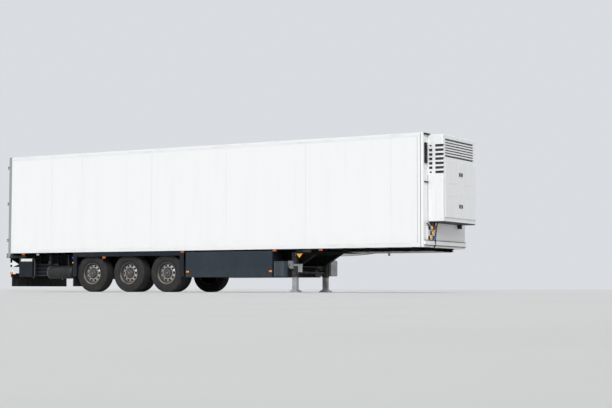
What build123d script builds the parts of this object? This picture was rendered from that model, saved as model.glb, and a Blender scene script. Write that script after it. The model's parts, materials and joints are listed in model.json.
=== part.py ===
from build123d import *

import os

# A tri-axle refrigerated box semi-trailer, standing on its wheels and its lowered landing legs.
# Millimetres. +X points forward to the kingpin, +Y to the left, +Z up, and the floor is at Z = 0.
# The origin is on the floor, below the middle of the whole trailer.

# Body sizes
body_length = 13645
body_width = 2600
overall_height = 4000
wall_thickness = 60
wall_recess = 3
roof_thickness = 80
floor_thickness = 150
front_wall_thickness = 80
front_corner_radius = 45
edge_rail_height = 110
edge_rail_radius = 30
front_ledge_height = 100
front_ledge_reach = 35
front_ledge_lift = 60
front_ledge_inset = 60

# Rear frame and doors
rear_frame_depth = 100
post_width = 90
sill_height = 230
sill_drop = 140
sill_foot = 40
header_height = 140
door_thickness = 85
door_gap = 8
door_edge_chamfer = 40
hinge_heights = (1530, 2610, 3690)
hinge_setback = 62
hinge_inset = 20
knuckle_radius = 16
knuckle_height = 70
hinge_pin_radius = 8
hinge_pin_clearance = 0.3
hinge_lug_thickness = 12
hinge_lug_gap = 0.5
strap_thickness = 8
strap_length = 300
strap_end_gap = 2
arm_half = 9
arm_lap = 10
rod_radius = 13
rod_standoff = 20
rod_overrun = 45
rod_guide_reach = 35
rod_guide_size = 60
rod_guide_count = 5
rod_guide_inset = 120
rod_guide_half_height = 25
handle_length = 380
handle_section = 30
handle_thickness = 10
keeper_reach = (90, 130)
keeper_lap = 20
# Each lock rod: distance from the middle, the way its handle points, and the handle's height
lock_rods = ((330, 1, 1750), (930, -1, 1600))
buffer_reach = 80
buffer_width = 150
buffer_inset = 15
buffer_radius = 20

# Refrigeration unit on the front wall
unit_depth = 450
unit_half_width = 1010
unit_bottom = 1780
unit_top = 3960
unit_wall = 30
unit_opening_inset = 70
unit_edge_radius = 38
unit_door_thickness = 25
unit_door_gap = 5
unit_door_bottom = 1890
unit_door_top = 3300
unit_door_overlap = 30
unit_pin_radius = 5
unit_lug_thickness = 10
grille_bottom = 3400
grille_top = 3860
grille_half_width = 880
slat_count = 6
slat_height = 34
slat_depth = 20
slot_height = 66
slot_rows = 7
slot_pitch = 111
slot_top_row = 3680
small_slot = (30, 128)
end_slot_width = 60
end_slot_height = 40
wrapped_slot_start = 201
wrapped_slot_turn = 85
engine_size = (260, 800, 620)
engine_set_back = 40
condenser_thickness = 50
condenser_gap = 20
evaporator_depth = 300
evaporator_half_width = 900
evaporator_height = 600
evaporator_gap = 20
evaporator_outlet_radius = 125
evaporator_outlet_depth = 50
evaporator_outlet_places = (-600, -200, 200, 600)

# On the front wall beside and below the unit
front_vent_place = (1060, 1220)
front_vent_height = (3240, 3750)
front_vent_base = 10
front_vent_reach = 34
front_vent_slat = 14
front_vent_count = 11
board_place = (-1080, -690)
board_height = (1320, 1700)
board_thickness = 20
# Each coupling: place across, height, radius, length
couplings = (
    (-990, 1615, 32, 90),
    (-790, 1615, 32, 90),
    (-890, 1490, 38, 70),
    (-990, 1375, 38, 70),
    (-790, 1375, 38, 70),
)

# Running gear
tyre_radius = 536
tyre_width = 385
tread_half_width = 165
rim_seat_radius = 286
rim_flange_radius = 298
rim_half_width = 149
rim_flange_thickness = 12
rim_well_radius = 250
rim_wall = 10
tyre_rim_clearance = 0.2
wheel_track = 2040
disc_offset = 92
disc_thickness = 14
disc_flat_radius = 195
disc_bore_radius = 130
hand_hole_count = 10
hand_hole_radius = 29
hand_hole_circle = 203
hub_cap_radius = 92
hub_cap_length = 38
drum_radius = 205
drum_wall = 22
drum_inner_end = -80
hub_radius = 95
spindle_radius = 50
spindle_clearance = 0.05
running_gap = 6
axle_spacing = 1315
rear_axle_station = 3100
axle_count = 3
axle_tube_radius = 73
arch_clearance = 68

# Chassis
rail_spacing = 1300
rail_depth = 420
flange_width = 140
flange_thickness = 12
web_thickness = 8
coupling_height = 1045
coupling_plate_thickness = 10
coupling_plate_length = 2300
coupling_plate_setback = 60
kingpin_setback = 1600
taper_start_reach = 2300
taper_end_reach = 1750
cross_height = 60
cross_flange = 40
cross_section_thickness = 6
skirt_thickness = 12
skirt_inset = 8

# Kingpin, below the coupling plate
kingpin_collar_radius = 36.5
kingpin_collar_length = 35
kingpin_neck_radius = 25.4
kingpin_neck_length = 30
kingpin_flange_radius = 35.7
kingpin_flange_length = 19
kingpin_base_radius = 90
kingpin_base_thickness = 20
kingpin_clearance = 0.3

# Suspension
pivot_reach = 490
pivot_height = 600
hanger_half_top = 110
hanger_half_foot = 50
hanger_foot_drop = 55
arm_width = 100
arm_clearance = 0.3
hanger_plate = 12
spring_reach = 430
spring_radius = 140
spring_seat = 540
arm_depth = 75
arm_tail = 560
arm_tail_depth = 60
chamber_radius = 80
chamber_length = 170
chamber_place = 450
chamber_height = 660
chamber_bracket = 50
chamber_bracket_length = 80
brake_plate = 8

# Landing legs
leg_station = 9670
leg_width = 140
leg_wall = 6
leg_gap = 20
leg_bottom = 400
leg_top = 1060
leg_slide_clearance = 0.3
leg_overlap = 160
foot_length = 300
foot_width = 220
foot_plate = 14
foot_neck = 70
brace_height = 530
brace_size = 50
leg_bracket_half = 90
leg_bracket_bottom = 960
strut_reach = 330
gear_shaft_height = 690
gear_shaft_radius = 15
# The gearbox beside the right leg, from the leg's middle: its outline tapers downwards
gearbox_outline = ((-150, 835), (-10, 835), (-10, 625), (-95, 625), (-150, 700))
gearbox_depth = 70
crank_strap = (700, 750, 18)
# Each bar of the folded crank: its place from the leg's middle, and its width
crank_bars = ((166, 46), (234, 60))
crank_bottom = 535

# What hangs below the body
tank_radius = 188
tank_height = 572
tank_place = 1050
tank_start = 1413
tank_length = 950
tank_strap_half = 40
tool_box_start = 415
tool_box_length = 530
tool_box_bottom = 430
tool_box_top = 990
tool_box_inner = 1135
box_bracket = (850, 910)
box_bracket_width = 40
box_wall = 15
rack_start = 560
rack_end = 1540
rack_bottom = 467
rack_pitch = 108
rack_count = 4
rack_slat = (22, 32)
rack_place = 830
rack_post = 30
rack_panel = 6
rack_panel_margin = 10
lid_thickness = 20
lid_gap = 6
lid_pin_radius = 4
lid_pin_clearance = 0.3
lid_lug = 4
pin_hold = 12
pin_socket = 14
pallet_box_start = 6440
pallet_box_length = 2810
pallet_box_bottom = 410
pallet_box_floor = 30
pallet_box_wall = 25
pallet_box_reach = 1260
pallet_lug_root = 20
pallet_lug_drop = 55
box_gap = 5
rail_gap = 15
flap_lamp_inset = 40
flap_lamp_lift = 120
flap_thickness = 25
flap_top = 1103
front_box_start = 9292
front_box_length = 300
front_box_inner = 1077
front_box_bottom = 413
front_box_top = 823
front_box_radius = 20
side_bracket = (740, 790)
fuel_tank_inner = 900
fuel_tank_outer = 1262
fuel_tank_length = 500
fuel_tank_bottom = 440
fuel_tank_top = 880
fuel_tank_radius = 60
filler_place = 1150
filler_radius = 40
filler_height = 35
skirt_rear_start = 2475
skirt_post_width = 135
skirt_front_start = 6250
skirt_rear_bottom = 450
skirt_front_bottom = 420
skirt_beam_bottom = 1010
skirt_beam_top = 1130
wing_gap = 16
wing_thickness = 4
wing_half_angle = 35
wing_inner_place = 820
flap_sheet = 10
mud_flap_bottom = 160
marker_length = 110
marker_height = 60
marker_thickness = 16
marker_stations = (590, 6340, 9315, 10717)
beam_marker_station = 3610
bumper_depth = 100
bumper_bottom = 430
bumper_height = 120
bumper_half_width = 1240
bumper_hanger = (50, 80)
bumper_radius = 12
lamp_board_height = 260
lamp_board_thickness = 10
gusset_thickness = 8
# The rear gussets, as distances forward from the rear face and heights
upper_gusset = ((30, 800), (115, 800), (115, 731), (369, 812), (115, 936), (115, 860), (30, 860))
lower_gusset = ((108, 525), (256, 525), (108, 683))
end_lamp = (50, 142)
end_lamp_height = (520, 580)
end_lamp_reach = 30
lamp_length = 400
lamp_height = 130
lamp_depth = 30
lamp_lift = 60
lamp_end_inset = 100

# Places worked out from the sizes above
overall_length = buffer_reach + body_length + unit_depth
rear_face = -overall_length / 2 + buffer_reach
front_face = rear_face + body_length
body_underside = 2 * tyre_radius + arch_clearance
half_width = body_width / 2
rail_y = rail_spacing / 2
rail_bottom = body_underside - rail_depth
body_rear = rear_face + rear_frame_depth
body_front = front_face - front_wall_thickness
floor_top = body_underside + floor_thickness
roof_bottom = overall_height - roof_thickness
kingpin_x = front_face - kingpin_setback
neck_bottom = coupling_height + coupling_plate_thickness
axle_height = tyre_radius
wheel_y = wheel_track / 2
axle_places = [rear_face + rear_axle_station + i * axle_spacing for i in range(axle_count)]
skirt_outside = half_width - skirt_inset
skirt_inside = skirt_outside - skirt_thickness
cross_pitch = axle_spacing / 2
cross_bottom = body_underside - cross_height
os.makedirs("parts", exist_ok=True)


def station(distance):
    # A place measured forward from the rear face
    return rear_face + distance


def side_plane(y):
    # A plane that faces right: outlines on it are drawn in X and Z and grow towards -Y
    return Plane.XZ.offset(-y)


def cross_plane(x):
    # A plane that faces forward: outlines on it are drawn in Y and Z and grow towards +X
    return Plane.YZ.offset(x)


def block(x, y, z, mode=Mode.ADD):
    # A box between a low and a high value on each axis
    with Locations(((x[0] + x[1]) / 2, (y[0] + y[1]) / 2, (z[0] + z[1]) / 2)):
        Box(x[1] - x[0], y[1] - y[0], z[1] - z[0], mode=mode)


def prism(plane, outline, depth, mode=Mode.ADD):
    # A straight-sided outline made into a plate
    with BuildSketch(plane) as face:
        with BuildLine():
            Polyline(*outline, close=True)
        make_face()
    extrude(to_extrude=face.sketch, amount=depth, mode=mode)


def rod(start, direction, radius, length, mode=Mode.ADD):
    # A round bar from a start point along a direction
    with BuildSketch(Plane(origin=start, z_dir=direction)) as section:
        Circle(radius)
    extrude(to_extrude=section.sketch, amount=length, mode=mode)


def finish(part, name):
    # Label a piece and write its file
    part.label = name
    export_step(part, f"parts/{name}.step")


def wheel_plane(side):
    # Outlines on it are drawn as (radius, distance outboard of the wheel's middle)
    return Plane(origin=(0, side * wheel_y, axle_height), x_dir=(1, 0, 0), z_dir=(0, 0, side))


# Main rails: two I-beams that taper up to a shallow neck, with the suspension hangers welded on
taper_start = kingpin_x - taper_start_reach
taper_end = kingpin_x - taper_end_reach
rail_underline = [
    (body_rear, rail_bottom),
    (taper_start, rail_bottom),
    (taper_end, neck_bottom),
    (body_front, neck_bottom),
]
rail_inner_line = [(x, z + flange_thickness) for x, z in rail_underline]
flange_outline = rail_underline + rail_inner_line[::-1]
web_top = body_underside - flange_thickness
web_outline = rail_inner_line + [(body_front, web_top), (body_rear, web_top)]
rail_inside = rail_y - flange_width / 2
rail_outside = rail_y + flange_width / 2
web_outside = rail_y + web_thickness / 2
hanger_half = arm_width / 2 + arm_clearance
with BuildPart() as main_rails:
    prism(side_plane(rail_y + web_thickness / 2), web_outline, web_thickness)
    prism(side_plane(rail_outside), flange_outline, flange_width)
    block((body_rear, body_front), (rail_inside, rail_outside), (web_top, body_underside))
    for axle_x in axle_places:
        pivot_x = axle_x + pivot_reach
        hanger_outline = [
            (pivot_x - hanger_half_top, rail_bottom),
            (pivot_x - hanger_half_foot, pivot_height - hanger_foot_drop),
            (pivot_x + hanger_half_foot, pivot_height - hanger_foot_drop),
            (pivot_x + hanger_half_top, rail_bottom),
        ]
        for inner_y in (rail_y - hanger_half - hanger_plate, rail_y + hanger_half):
            prism(side_plane(inner_y + hanger_plate), hanger_outline, hanger_plate)
    mirror(about=Plane.XZ)
finish(main_rails.part, "main_rails")

# Cross members: channels between the rails, and outriggers from the rails out to the skirts
cross_places = []
cross_x = axle_places[0] - cross_pitch / 2
while cross_x - cross_pitch > body_rear + cross_flange:
    cross_x -= cross_pitch
while cross_x < body_front - cross_flange:
    cross_places.append(cross_x)
    cross_x += cross_pitch


def rows(places, section, high_y, low_y):
    # The same section drawn at each place along the trailer, and run across from one Y to another
    with BuildSketch(side_plane(high_y)) as row:
        for place in places:
            with BuildLine():
                Polyline(*[(place + x, z) for x, z in section], close=True)
            make_face()
    extrude(to_extrude=row.sketch, amount=high_y - low_y)


channel_section = [
    (0, cross_bottom),
    (cross_flange, cross_bottom),
    (cross_flange, cross_bottom + cross_section_thickness),
    (cross_section_thickness, cross_bottom + cross_section_thickness),
    (cross_section_thickness, web_top - cross_section_thickness),
    (cross_flange, web_top - cross_section_thickness),
    (cross_flange, web_top),
    (0, web_top),
]
outrigger_section = channel_section[:5] + [
    (cross_flange, web_top - cross_section_thickness),
    (cross_flange, body_underside),
    (0, body_underside),
]
by_skirt = [x for x in cross_places if station(skirt_rear_start) < x < station(skirt_front_start)]
off_skirt = [x for x in cross_places if x not in by_skirt]
web_inside = rail_y - web_thickness / 2
outrigger_rows = ((by_skirt, skirt_inside), (off_skirt, half_width - wall_thickness))
with BuildPart() as cross_members:
    rows(cross_places, channel_section, web_inside, -web_inside)
    for places, end in outrigger_rows:
        rows(places, channel_section, rail_outside, web_outside)
        rows(places, outrigger_section, end, rail_outside)
        rows(places, channel_section, -web_outside, -rail_outside)
        rows(places, outrigger_section, -rail_outside, -end)
finish(cross_members.part, "cross_members")

# Coupling plate: the flat plate that rests on the towing vehicle, with a hole for the kingpin
coupling_plate_front = body_front - coupling_plate_setback
with BuildPart() as coupling_plate:
    block(
        (coupling_plate_front - coupling_plate_length, coupling_plate_front),
        (-rail_outside, rail_outside),
        (coupling_height, neck_bottom),
    )
    rod((kingpin_x, 0, coupling_height), (0, 0, 1), kingpin_collar_radius + kingpin_clearance,
        coupling_plate_thickness, Mode.SUBTRACT)
finish(coupling_plate.part, "coupling_plate")

# Kingpin: a stepped pin that hangs from a flange on top of the plate
kingpin_collar_end = coupling_height - kingpin_collar_length
kingpin_neck_end = kingpin_collar_end - kingpin_neck_length
kingpin_end = kingpin_neck_end - kingpin_flange_length
kingpin_outline = [
    (0, kingpin_end),
    (kingpin_flange_radius, kingpin_end),
    (kingpin_flange_radius, kingpin_neck_end),
    (kingpin_neck_radius, kingpin_neck_end),
    (kingpin_neck_radius, kingpin_collar_end),
    (kingpin_collar_radius, kingpin_collar_end),
    (kingpin_collar_radius, neck_bottom),
    (kingpin_base_radius, neck_bottom),
    (kingpin_base_radius, neck_bottom + kingpin_base_thickness),
    (0, neck_bottom + kingpin_base_thickness),
]
with BuildPart() as kingpin:
    with BuildSketch(Plane(origin=(kingpin_x, 0, 0), x_dir=(1, 0, 0), z_dir=(0, -1, 0))):
        with BuildLine():
            Polyline(*kingpin_outline, close=True)
        make_face()
    revolve(axis=Axis((kingpin_x, 0, 0), (0, 0, 1)))
finish(kingpin.part, "kingpin")

# Landing legs: square tubes on the rails, tied by a cross tube, two struts and the gear shaft
leg_x = station(leg_station)
leg_inner_y = rail_outside + leg_gap
leg_outer_y = leg_inner_y + leg_width
leg_y = (leg_inner_y + leg_outer_y) / 2
leg_hole = leg_width - 2 * leg_wall
with BuildPart() as landing_legs:
    with Locations((leg_x, leg_y, (leg_bottom + leg_top) / 2)):
        Box(leg_width, leg_width, leg_top - leg_bottom)
    with Locations((leg_x, leg_y, (leg_bottom + leg_top) / 2 - leg_wall)):
        Box(leg_hole, leg_hole, leg_top - leg_bottom, mode=Mode.SUBTRACT)
    block(
        (leg_x - leg_bracket_half, leg_x + leg_bracket_half),
        (web_outside, leg_inner_y),
        (leg_bracket_bottom, cross_bottom - box_gap),
    )
    strut_outline = [
        (leg_x - brace_size / 2, brace_height - brace_size / 2),
        (leg_x + brace_size / 2, brace_height + brace_size / 2),
        (leg_x - strut_reach + brace_size, rail_bottom),
        (leg_x - strut_reach, rail_bottom),
    ]
    prism(side_plane(rail_y + brace_size / 2), strut_outline, brace_size)
    mirror(about=Plane.XZ)
    block(
        (leg_x - brace_size / 2, leg_x + brace_size / 2),
        (-leg_inner_y, leg_inner_y),
        (brace_height - brace_size / 2, brace_height + brace_size / 2),
    )
    rod((leg_x, -leg_inner_y, gear_shaft_height), (0, 1, 0), gear_shaft_radius, 2 * leg_inner_y)
finish(landing_legs.part, "landing_legs")

# Landing gearbox on the right leg, with the folded crank beside it
with BuildPart() as landing_gearbox:
    prism(side_plane(-leg_outer_y), [(leg_x + x, z) for x, z in gearbox_outline], gearbox_depth)
    crank_low, crank_high, crank_thickness = crank_strap
    crank_end = crank_bars[-1][0] + crank_bars[-1][1] / 2
    block(
        (leg_x, leg_x + crank_end),
        (-leg_outer_y - crank_thickness, -leg_outer_y),
        (crank_low, crank_high),
    )
    for place, width in crank_bars:
        block(
            (leg_x + place - width / 2, leg_x + place + width / 2),
            (-leg_outer_y - 2 * crank_thickness, -leg_outer_y - crank_thickness),
            (crank_bottom, crank_high),
        )
finish(landing_gearbox.part, "landing_gearbox")

# Landing feet: the inner legs, drawn down to the floor, each with a rocking foot
foot_outline = [
    (leg_x - foot_length / 2, 0),
    (leg_x + foot_length / 2, 0),
    (leg_x + foot_length / 2, foot_plate),
    (leg_x + 60, foot_neck),
    (leg_x - 60, foot_neck),
    (leg_x - foot_length / 2, foot_plate),
]
inner_leg = leg_hole - 2 * leg_slide_clearance
with BuildPart() as landing_feet:
    prism(side_plane(leg_y + foot_width / 2), foot_outline, foot_width)
    block(
        (leg_x - inner_leg / 2, leg_x + inner_leg / 2),
        (leg_y - inner_leg / 2, leg_y + inner_leg / 2),
        (foot_neck, leg_bottom + leg_overlap),
    )
    mirror(about=Plane.XZ)
finish(landing_feet.part, "landing_feet")

# Axle beams: round tubes with a spindle and a brake plate at each end, and two brake chambers
spindle_end = wheel_y + disc_offset - running_gap
brake_plate_y = wheel_y + drum_inner_end - running_gap
with BuildPart() as axle_beams:
    for axle_x in axle_places:
        rod((axle_x, 0, axle_height), (0, 1, 0), axle_tube_radius, brake_plate_y)
        rod((axle_x, brake_plate_y - brake_plate, axle_height), (0, 1, 0), drum_radius, brake_plate)
        rod((axle_x, brake_plate_y, axle_height), (0, 1, 0), spindle_radius, spindle_end - brake_plate_y)
        chamber_x = axle_x + chamber_bracket_length - 20
        rod((chamber_x, chamber_place, chamber_height), (1, 0, 0), chamber_radius, chamber_length)
        block(
            (chamber_x - chamber_bracket_length, chamber_x),
            (chamber_place - chamber_bracket, chamber_place + chamber_bracket),
            (axle_height + chamber_bracket, chamber_height + chamber_bracket),
        )
    mirror(about=Plane.XZ)
finish(axle_beams.part, "axle_beams")

# Suspension arms: each runs from its hanger over the axle to the seat of its air spring
with BuildPart() as suspension_arms:
    for axle_x in axle_places:
        axle_top = axle_height + axle_tube_radius + arm_clearance
        arm_outline = [
            (axle_x - arm_tail, spring_seat - arm_tail_depth),
            (axle_x - arm_tail / 2 + 10, spring_seat - arm_tail_depth),
            (axle_x - 110, axle_top),
            (axle_x + 110, axle_top),
            (axle_x + pivot_reach - 20, pivot_height - 40),
            (axle_x + pivot_reach + 25, pivot_height - 35),
            (axle_x + pivot_reach + 45, pivot_height),
            (axle_x + pivot_reach + 25, pivot_height + 35),
            (axle_x + 140, axle_top + arm_depth),
            (axle_x - 100, axle_top + arm_depth),
            (axle_x - 250, spring_seat),
            (axle_x - arm_tail, spring_seat),
        ]
        prism(side_plane(rail_y + arm_width / 2), arm_outline, arm_width)
    mirror(about=Plane.XZ)
finish(suspension_arms.part, "suspension_arms")

# Air springs: a rubber bellows on a piston, between each arm and its rail
with BuildPart() as air_springs:
    for axle_x in axle_places:
        spring_x = axle_x - spring_reach
        with BuildSketch(Plane(origin=(spring_x, rail_y, 0), x_dir=(1, 0, 0), z_dir=(0, -1, 0))):
            with BuildLine():
                Polyline(
                    (spring_radius - 35, rail_bottom - 10),
                    (spring_radius - 20, rail_bottom - 10),
                    (spring_radius - 20, rail_bottom),
                    (0, rail_bottom),
                    (0, spring_seat),
                    (spring_radius - 50, spring_seat),
                    (spring_radius - 60, spring_seat + 60),
                    (spring_radius - 35, spring_seat + 60),
                )
                ThreePointArc(
                    (spring_radius - 35, spring_seat + 60),
                    (spring_radius, (spring_seat + 50 + rail_bottom) / 2),
                    (spring_radius - 35, rail_bottom - 10),
                )
            make_face()
        revolve(axis=Axis((spring_x, rail_y, 0), (0, 0, 1)))
    mirror(about=Plane.XZ)
finish(air_springs.part, "air_springs")

# Air tanks: one each side behind the wheels, hung from two outriggers by straps
tank_x = station(tank_start)
tank_hangers = [x for x in cross_places if tank_x + 40 < x < tank_x + tank_length - 80]
with BuildPart() as air_tanks:
    rod((tank_x, tank_place, tank_height), (1, 0, 0), tank_radius, tank_length)
    fillet(air_tanks.edges().filter_by(GeomType.CIRCLE), tank_radius / 2)
    for hanger_x in tank_hangers:
        block(
            (hanger_x, hanger_x + cross_flange),
            (tank_place - tank_strap_half, tank_place + tank_strap_half),
            (tank_height + tank_radius - 20, cross_bottom),
        )
    mirror(about=Plane.XZ)
finish(air_tanks.part, "air_tanks")

# Slat rack: a panel with four slats, on two posts below the outriggers, inboard of the air tank
rack_x = (station(rack_start), station(rack_end))
rack_hangers = [x for x in cross_places if rack_x[0] < x < rack_x[1] - cross_flange]
slat_thickness, slat_width = rack_slat
with BuildPart() as slat_rack:
    for i in range(rack_count):
        slat_low = rack_bottom + i * rack_pitch
        block(rack_x, (-rack_place, -rack_place + slat_thickness), (slat_low, slat_low + slat_width))
    panel_y = -rack_place + slat_thickness
    block(
        rack_x,
        (panel_y, panel_y + rack_panel),
        (rack_bottom - rack_panel_margin, slat_low + slat_width + rack_panel_margin),
    )
    for hanger_x in rack_hangers:
        block(
            (hanger_x, hanger_x + cross_flange),
            (panel_y, panel_y + rack_post),
            (rack_bottom, cross_bottom),
        )
finish(slat_rack.part, "slat_rack")

# Tool box: an open-sided case behind the air tank, on the right, with brackets to the rail
tool_box_x = (station(tool_box_start), station(tool_box_start + tool_box_length))
lid_outside = -skirt_outside
lid_pivot_y = lid_outside + lid_thickness / 2
lid_pivot_z = tool_box_bottom + 10 + lid_thickness / 2
tool_box_face = lid_outside + lid_thickness + lid_gap
with BuildPart() as tool_box:
    block(tool_box_x, (tool_box_face, -tool_box_inner), (tool_box_bottom, tool_box_top))
    block(
        (tool_box_x[0] + box_wall, tool_box_x[1] - box_wall),
        (tool_box_face, -tool_box_inner - box_wall),
        (tool_box_bottom + box_wall, tool_box_top - box_wall),
        Mode.SUBTRACT,
    )
    for bracket_x in (tool_box_x[0] + box_bracket_width, tool_box_x[1] - 5 * box_bracket_width):
        block((bracket_x, bracket_x + box_bracket_width), (-tool_box_inner, -web_outside), box_bracket)
    for lug_x, inward in ((tool_box_x[0], 1), (tool_box_x[1], -1)):
        lug = sorted((lug_x, lug_x + inward * lid_lug))
        block(
            lug,
            (lid_outside, tool_box_face),
            (lid_pivot_z - lid_thickness / 2, lid_pivot_z + lid_thickness / 2),
        )
        rod((lug_x, lid_pivot_y, lid_pivot_z), (inward, 0, 0), lid_pin_radius, lid_lug + lid_gap + pin_hold)
finish(tool_box.part, "tool_box")

# Tool box lid: hinged along its rounded lower edge
lid_x = (tool_box_x[0] + lid_lug + lid_gap, tool_box_x[1] - lid_lug - lid_gap)
with BuildPart() as tool_box_lid:
    block(lid_x, (lid_outside, lid_outside + lid_thickness), (lid_pivot_z, tool_box_top - 5))
    rod((lid_x[0], lid_pivot_y, lid_pivot_z), (1, 0, 0), lid_thickness / 2, lid_x[1] - lid_x[0])
    for end_x, inward in ((lid_x[0], 1), (lid_x[1], -1)):
        rod((end_x, lid_pivot_y, lid_pivot_z), (inward, 0, 0), lid_pin_radius + lid_pin_clearance,
            pin_socket, Mode.SUBTRACT)
finish(tool_box_lid.part, "tool_box_lid")

# Pallet box: a tray across the trailer, open at both sides, with an end wall under the rails
pallet_x = (station(pallet_box_start), station(pallet_box_start + pallet_box_length))
pallet_floor_top = pallet_box_bottom + pallet_box_floor
flap_outside = skirt_outside
flap_pivot_y = flap_outside - flap_thickness / 2
flap_pivot_z = flap_top - flap_thickness / 2
end_wall_outline = [
    (-pallet_box_reach, pallet_box_bottom),
    (pallet_box_reach, pallet_box_bottom),
    (pallet_box_reach, cross_bottom - box_gap),
    (rail_outside + rail_gap, cross_bottom - box_gap),
    (rail_outside + rail_gap, rail_bottom),
    (-rail_outside - rail_gap, rail_bottom),
    (-rail_outside - rail_gap, cross_bottom - box_gap),
    (-pallet_box_reach, cross_bottom - box_gap),
]
with BuildPart() as pallet_box:
    block(pallet_x, (-pallet_box_reach, pallet_box_reach), (pallet_box_bottom, pallet_floor_top))
    for wall_x in (pallet_x[0], pallet_x[1] - pallet_box_wall):
        prism(cross_plane(wall_x), end_wall_outline, pallet_box_wall)
    for lug_x, inward in ((pallet_x[0], 1), (pallet_x[1], -1)):
        lug = sorted((lug_x, lug_x + inward * lid_lug))
        for side in (-1, 1):
            block(
                lug,
                sorted((side * (pallet_box_reach - pallet_lug_root), side * flap_outside)),
                (flap_pivot_z - pallet_lug_drop, flap_top),
            )
            rod((lug_x, side * flap_pivot_y, flap_pivot_z), (inward, 0, 0), unit_pin_radius,
                lid_lug + lid_gap + pin_hold)
finish(pallet_box.part, "pallet_box")

# Pallet flaps: the side panels, hinged along their rounded top edges, with a lamp at each low corner
flap_x = (pallet_x[0] + lid_lug + lid_gap, pallet_x[1] - lid_lug - lid_gap)
for side, name in ((-1, "pallet_flap_right"), (1, "pallet_flap_left")):
    with BuildPart() as pallet_flap:
        block(
            flap_x,
            sorted((side * flap_outside, side * (flap_outside - flap_thickness))),
            (pallet_box_bottom, flap_pivot_z),
        )
        rod((flap_x[0], side * flap_pivot_y, flap_pivot_z), (1, 0, 0), flap_thickness / 2,
            flap_x[1] - flap_x[0])
        for end_x, inward in ((flap_x[0], 1), (flap_x[1], -1)):
            rod((end_x, side * flap_pivot_y, flap_pivot_z), (inward, 0, 0),
                unit_pin_radius + lid_pin_clearance, pin_socket, Mode.SUBTRACT)
            lamp_near = end_x + inward * flap_lamp_inset
            lamp_low = pallet_box_bottom + flap_lamp_lift
            block(
                sorted((lamp_near, lamp_near + inward * marker_length)),
                sorted((side * flap_outside, side * half_width)),
                (lamp_low, lamp_low + marker_height),
            )
    finish(pallet_flap.part, name)

# Front box: the battery case between the pallet box and the landing legs, on the right
front_box_x = (station(front_box_start), station(front_box_start + front_box_length))
with BuildPart() as front_box:
    block(front_box_x, (-skirt_outside, -front_box_inner), (front_box_bottom, front_box_top))
    fillet(front_box.edges().filter_by(Axis.X), front_box_radius)
    for bracket_x in (front_box_x[0] + box_bracket_width, front_box_x[0] + 4 * box_bracket_width):
        block((bracket_x, bracket_x + box_bracket_width), (-front_box_inner, -web_outside), side_bracket)
finish(front_box.part, "front_box")

# Fuel tank for the refrigeration unit, on the left
fuel_tank_x = (front_box_x[0], front_box_x[0] + fuel_tank_length)
with BuildPart() as fuel_tank:
    block(fuel_tank_x, (fuel_tank_inner, fuel_tank_outer), (fuel_tank_bottom, fuel_tank_top))
    fillet(fuel_tank.edges().filter_by(Axis.X), fuel_tank_radius)
    for bracket_x in (fuel_tank_x[0] + box_bracket_width, fuel_tank_x[0] + 5 * box_bracket_width):
        block((bracket_x, bracket_x + box_bracket_width), (web_outside, fuel_tank_inner), side_bracket)
    filler_x = fuel_tank_x[1] - 2 * filler_radius
    rod((filler_x, filler_place, fuel_tank_top), (0, 0, 1), filler_radius, filler_height)
finish(fuel_tank.part, "fuel_tank")

# Mudguards: a skirt with two posts on each side, and a curved wing over every wheel
skirt_rear = station(skirt_rear_start)
skirt_front = station(skirt_front_start)
skirt_outline = [
    (skirt_rear, skirt_rear_bottom),
    (skirt_rear + skirt_post_width, skirt_rear_bottom),
    (skirt_rear + skirt_post_width, skirt_beam_bottom),
    (skirt_front, skirt_beam_bottom),
    (skirt_front, skirt_front_bottom),
    (skirt_front + skirt_post_width, skirt_front_bottom),
    (skirt_front + skirt_post_width, skirt_beam_top),
    (skirt_rear, skirt_beam_top),
]
wing_inner_radius = tyre_radius + wing_gap
wing_outer_radius = wing_inner_radius + wing_thickness
with BuildPart() as mudguards:
    prism(side_plane(skirt_outside), skirt_outline, skirt_thickness)
    for axle_x in axle_places:
        with BuildSketch(side_plane(skirt_inside)):
            with BuildLine():
                inner = CenterArc((axle_x, axle_height), wing_inner_radius, 90 - wing_half_angle,
                                  2 * wing_half_angle)
                outer = CenterArc((axle_x, axle_height), wing_outer_radius, 90 - wing_half_angle,
                                  2 * wing_half_angle)
                Line(inner @ 0, outer @ 0)
                Line(inner @ 1, outer @ 1)
            make_face()
        extrude(amount=skirt_inside - wing_inner_place)
    mirror(about=Plane.XZ)
finish(mudguards.part, "mudguards")

# Mud flaps: one behind the wheels on each side, and a wide one under the rear bumper
bumper_x = (body_rear - 40, body_rear - 40 + bumper_depth)
with BuildPart() as mud_flaps:
    for side in (-1, 1):
        block(
            (skirt_rear, skirt_rear + flap_sheet),
            sorted((side * wing_inner_place, side * skirt_inside)),
            (mud_flap_bottom, skirt_beam_bottom),
        )
    block(
        (bumper_x[0] + 40, bumper_x[0] + 40 + flap_sheet),
        (-bumper_half_width, bumper_half_width),
        (mud_flap_bottom, bumper_bottom),
    )
finish(mud_flaps.part, "mud_flaps")

# Rear bumper: the underrun bar on its two hangers, and the lamp board under the rear sill
sill_bottom = body_underside - sill_drop
sill_top = sill_bottom + sill_height
bumper_top = bumper_bottom + bumper_height
lamp_board_x = (rear_face + sill_foot - lamp_board_thickness, rear_face + sill_foot)
board_half = bumper_half_width
board_bottom = sill_bottom - lamp_board_height
with BuildPart() as rear_bumper:
    block(bumper_x, (-bumper_half_width, bumper_half_width), (bumper_bottom, bumper_top))
    fillet(rear_bumper.edges().filter_by(Axis.Y), bumper_radius)
    for side in (-1, 1):
        block(
            (body_rear, body_rear + bumper_hanger[0]),
            (side * rail_y - bumper_hanger[1] / 2, side * rail_y + bumper_hanger[1] / 2),
            (bumper_top, rail_bottom),
        )
    block(lamp_board_x, (-board_half, board_half), (board_bottom, sill_bottom))
finish(rear_bumper.part, "rear_bumper")

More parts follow.
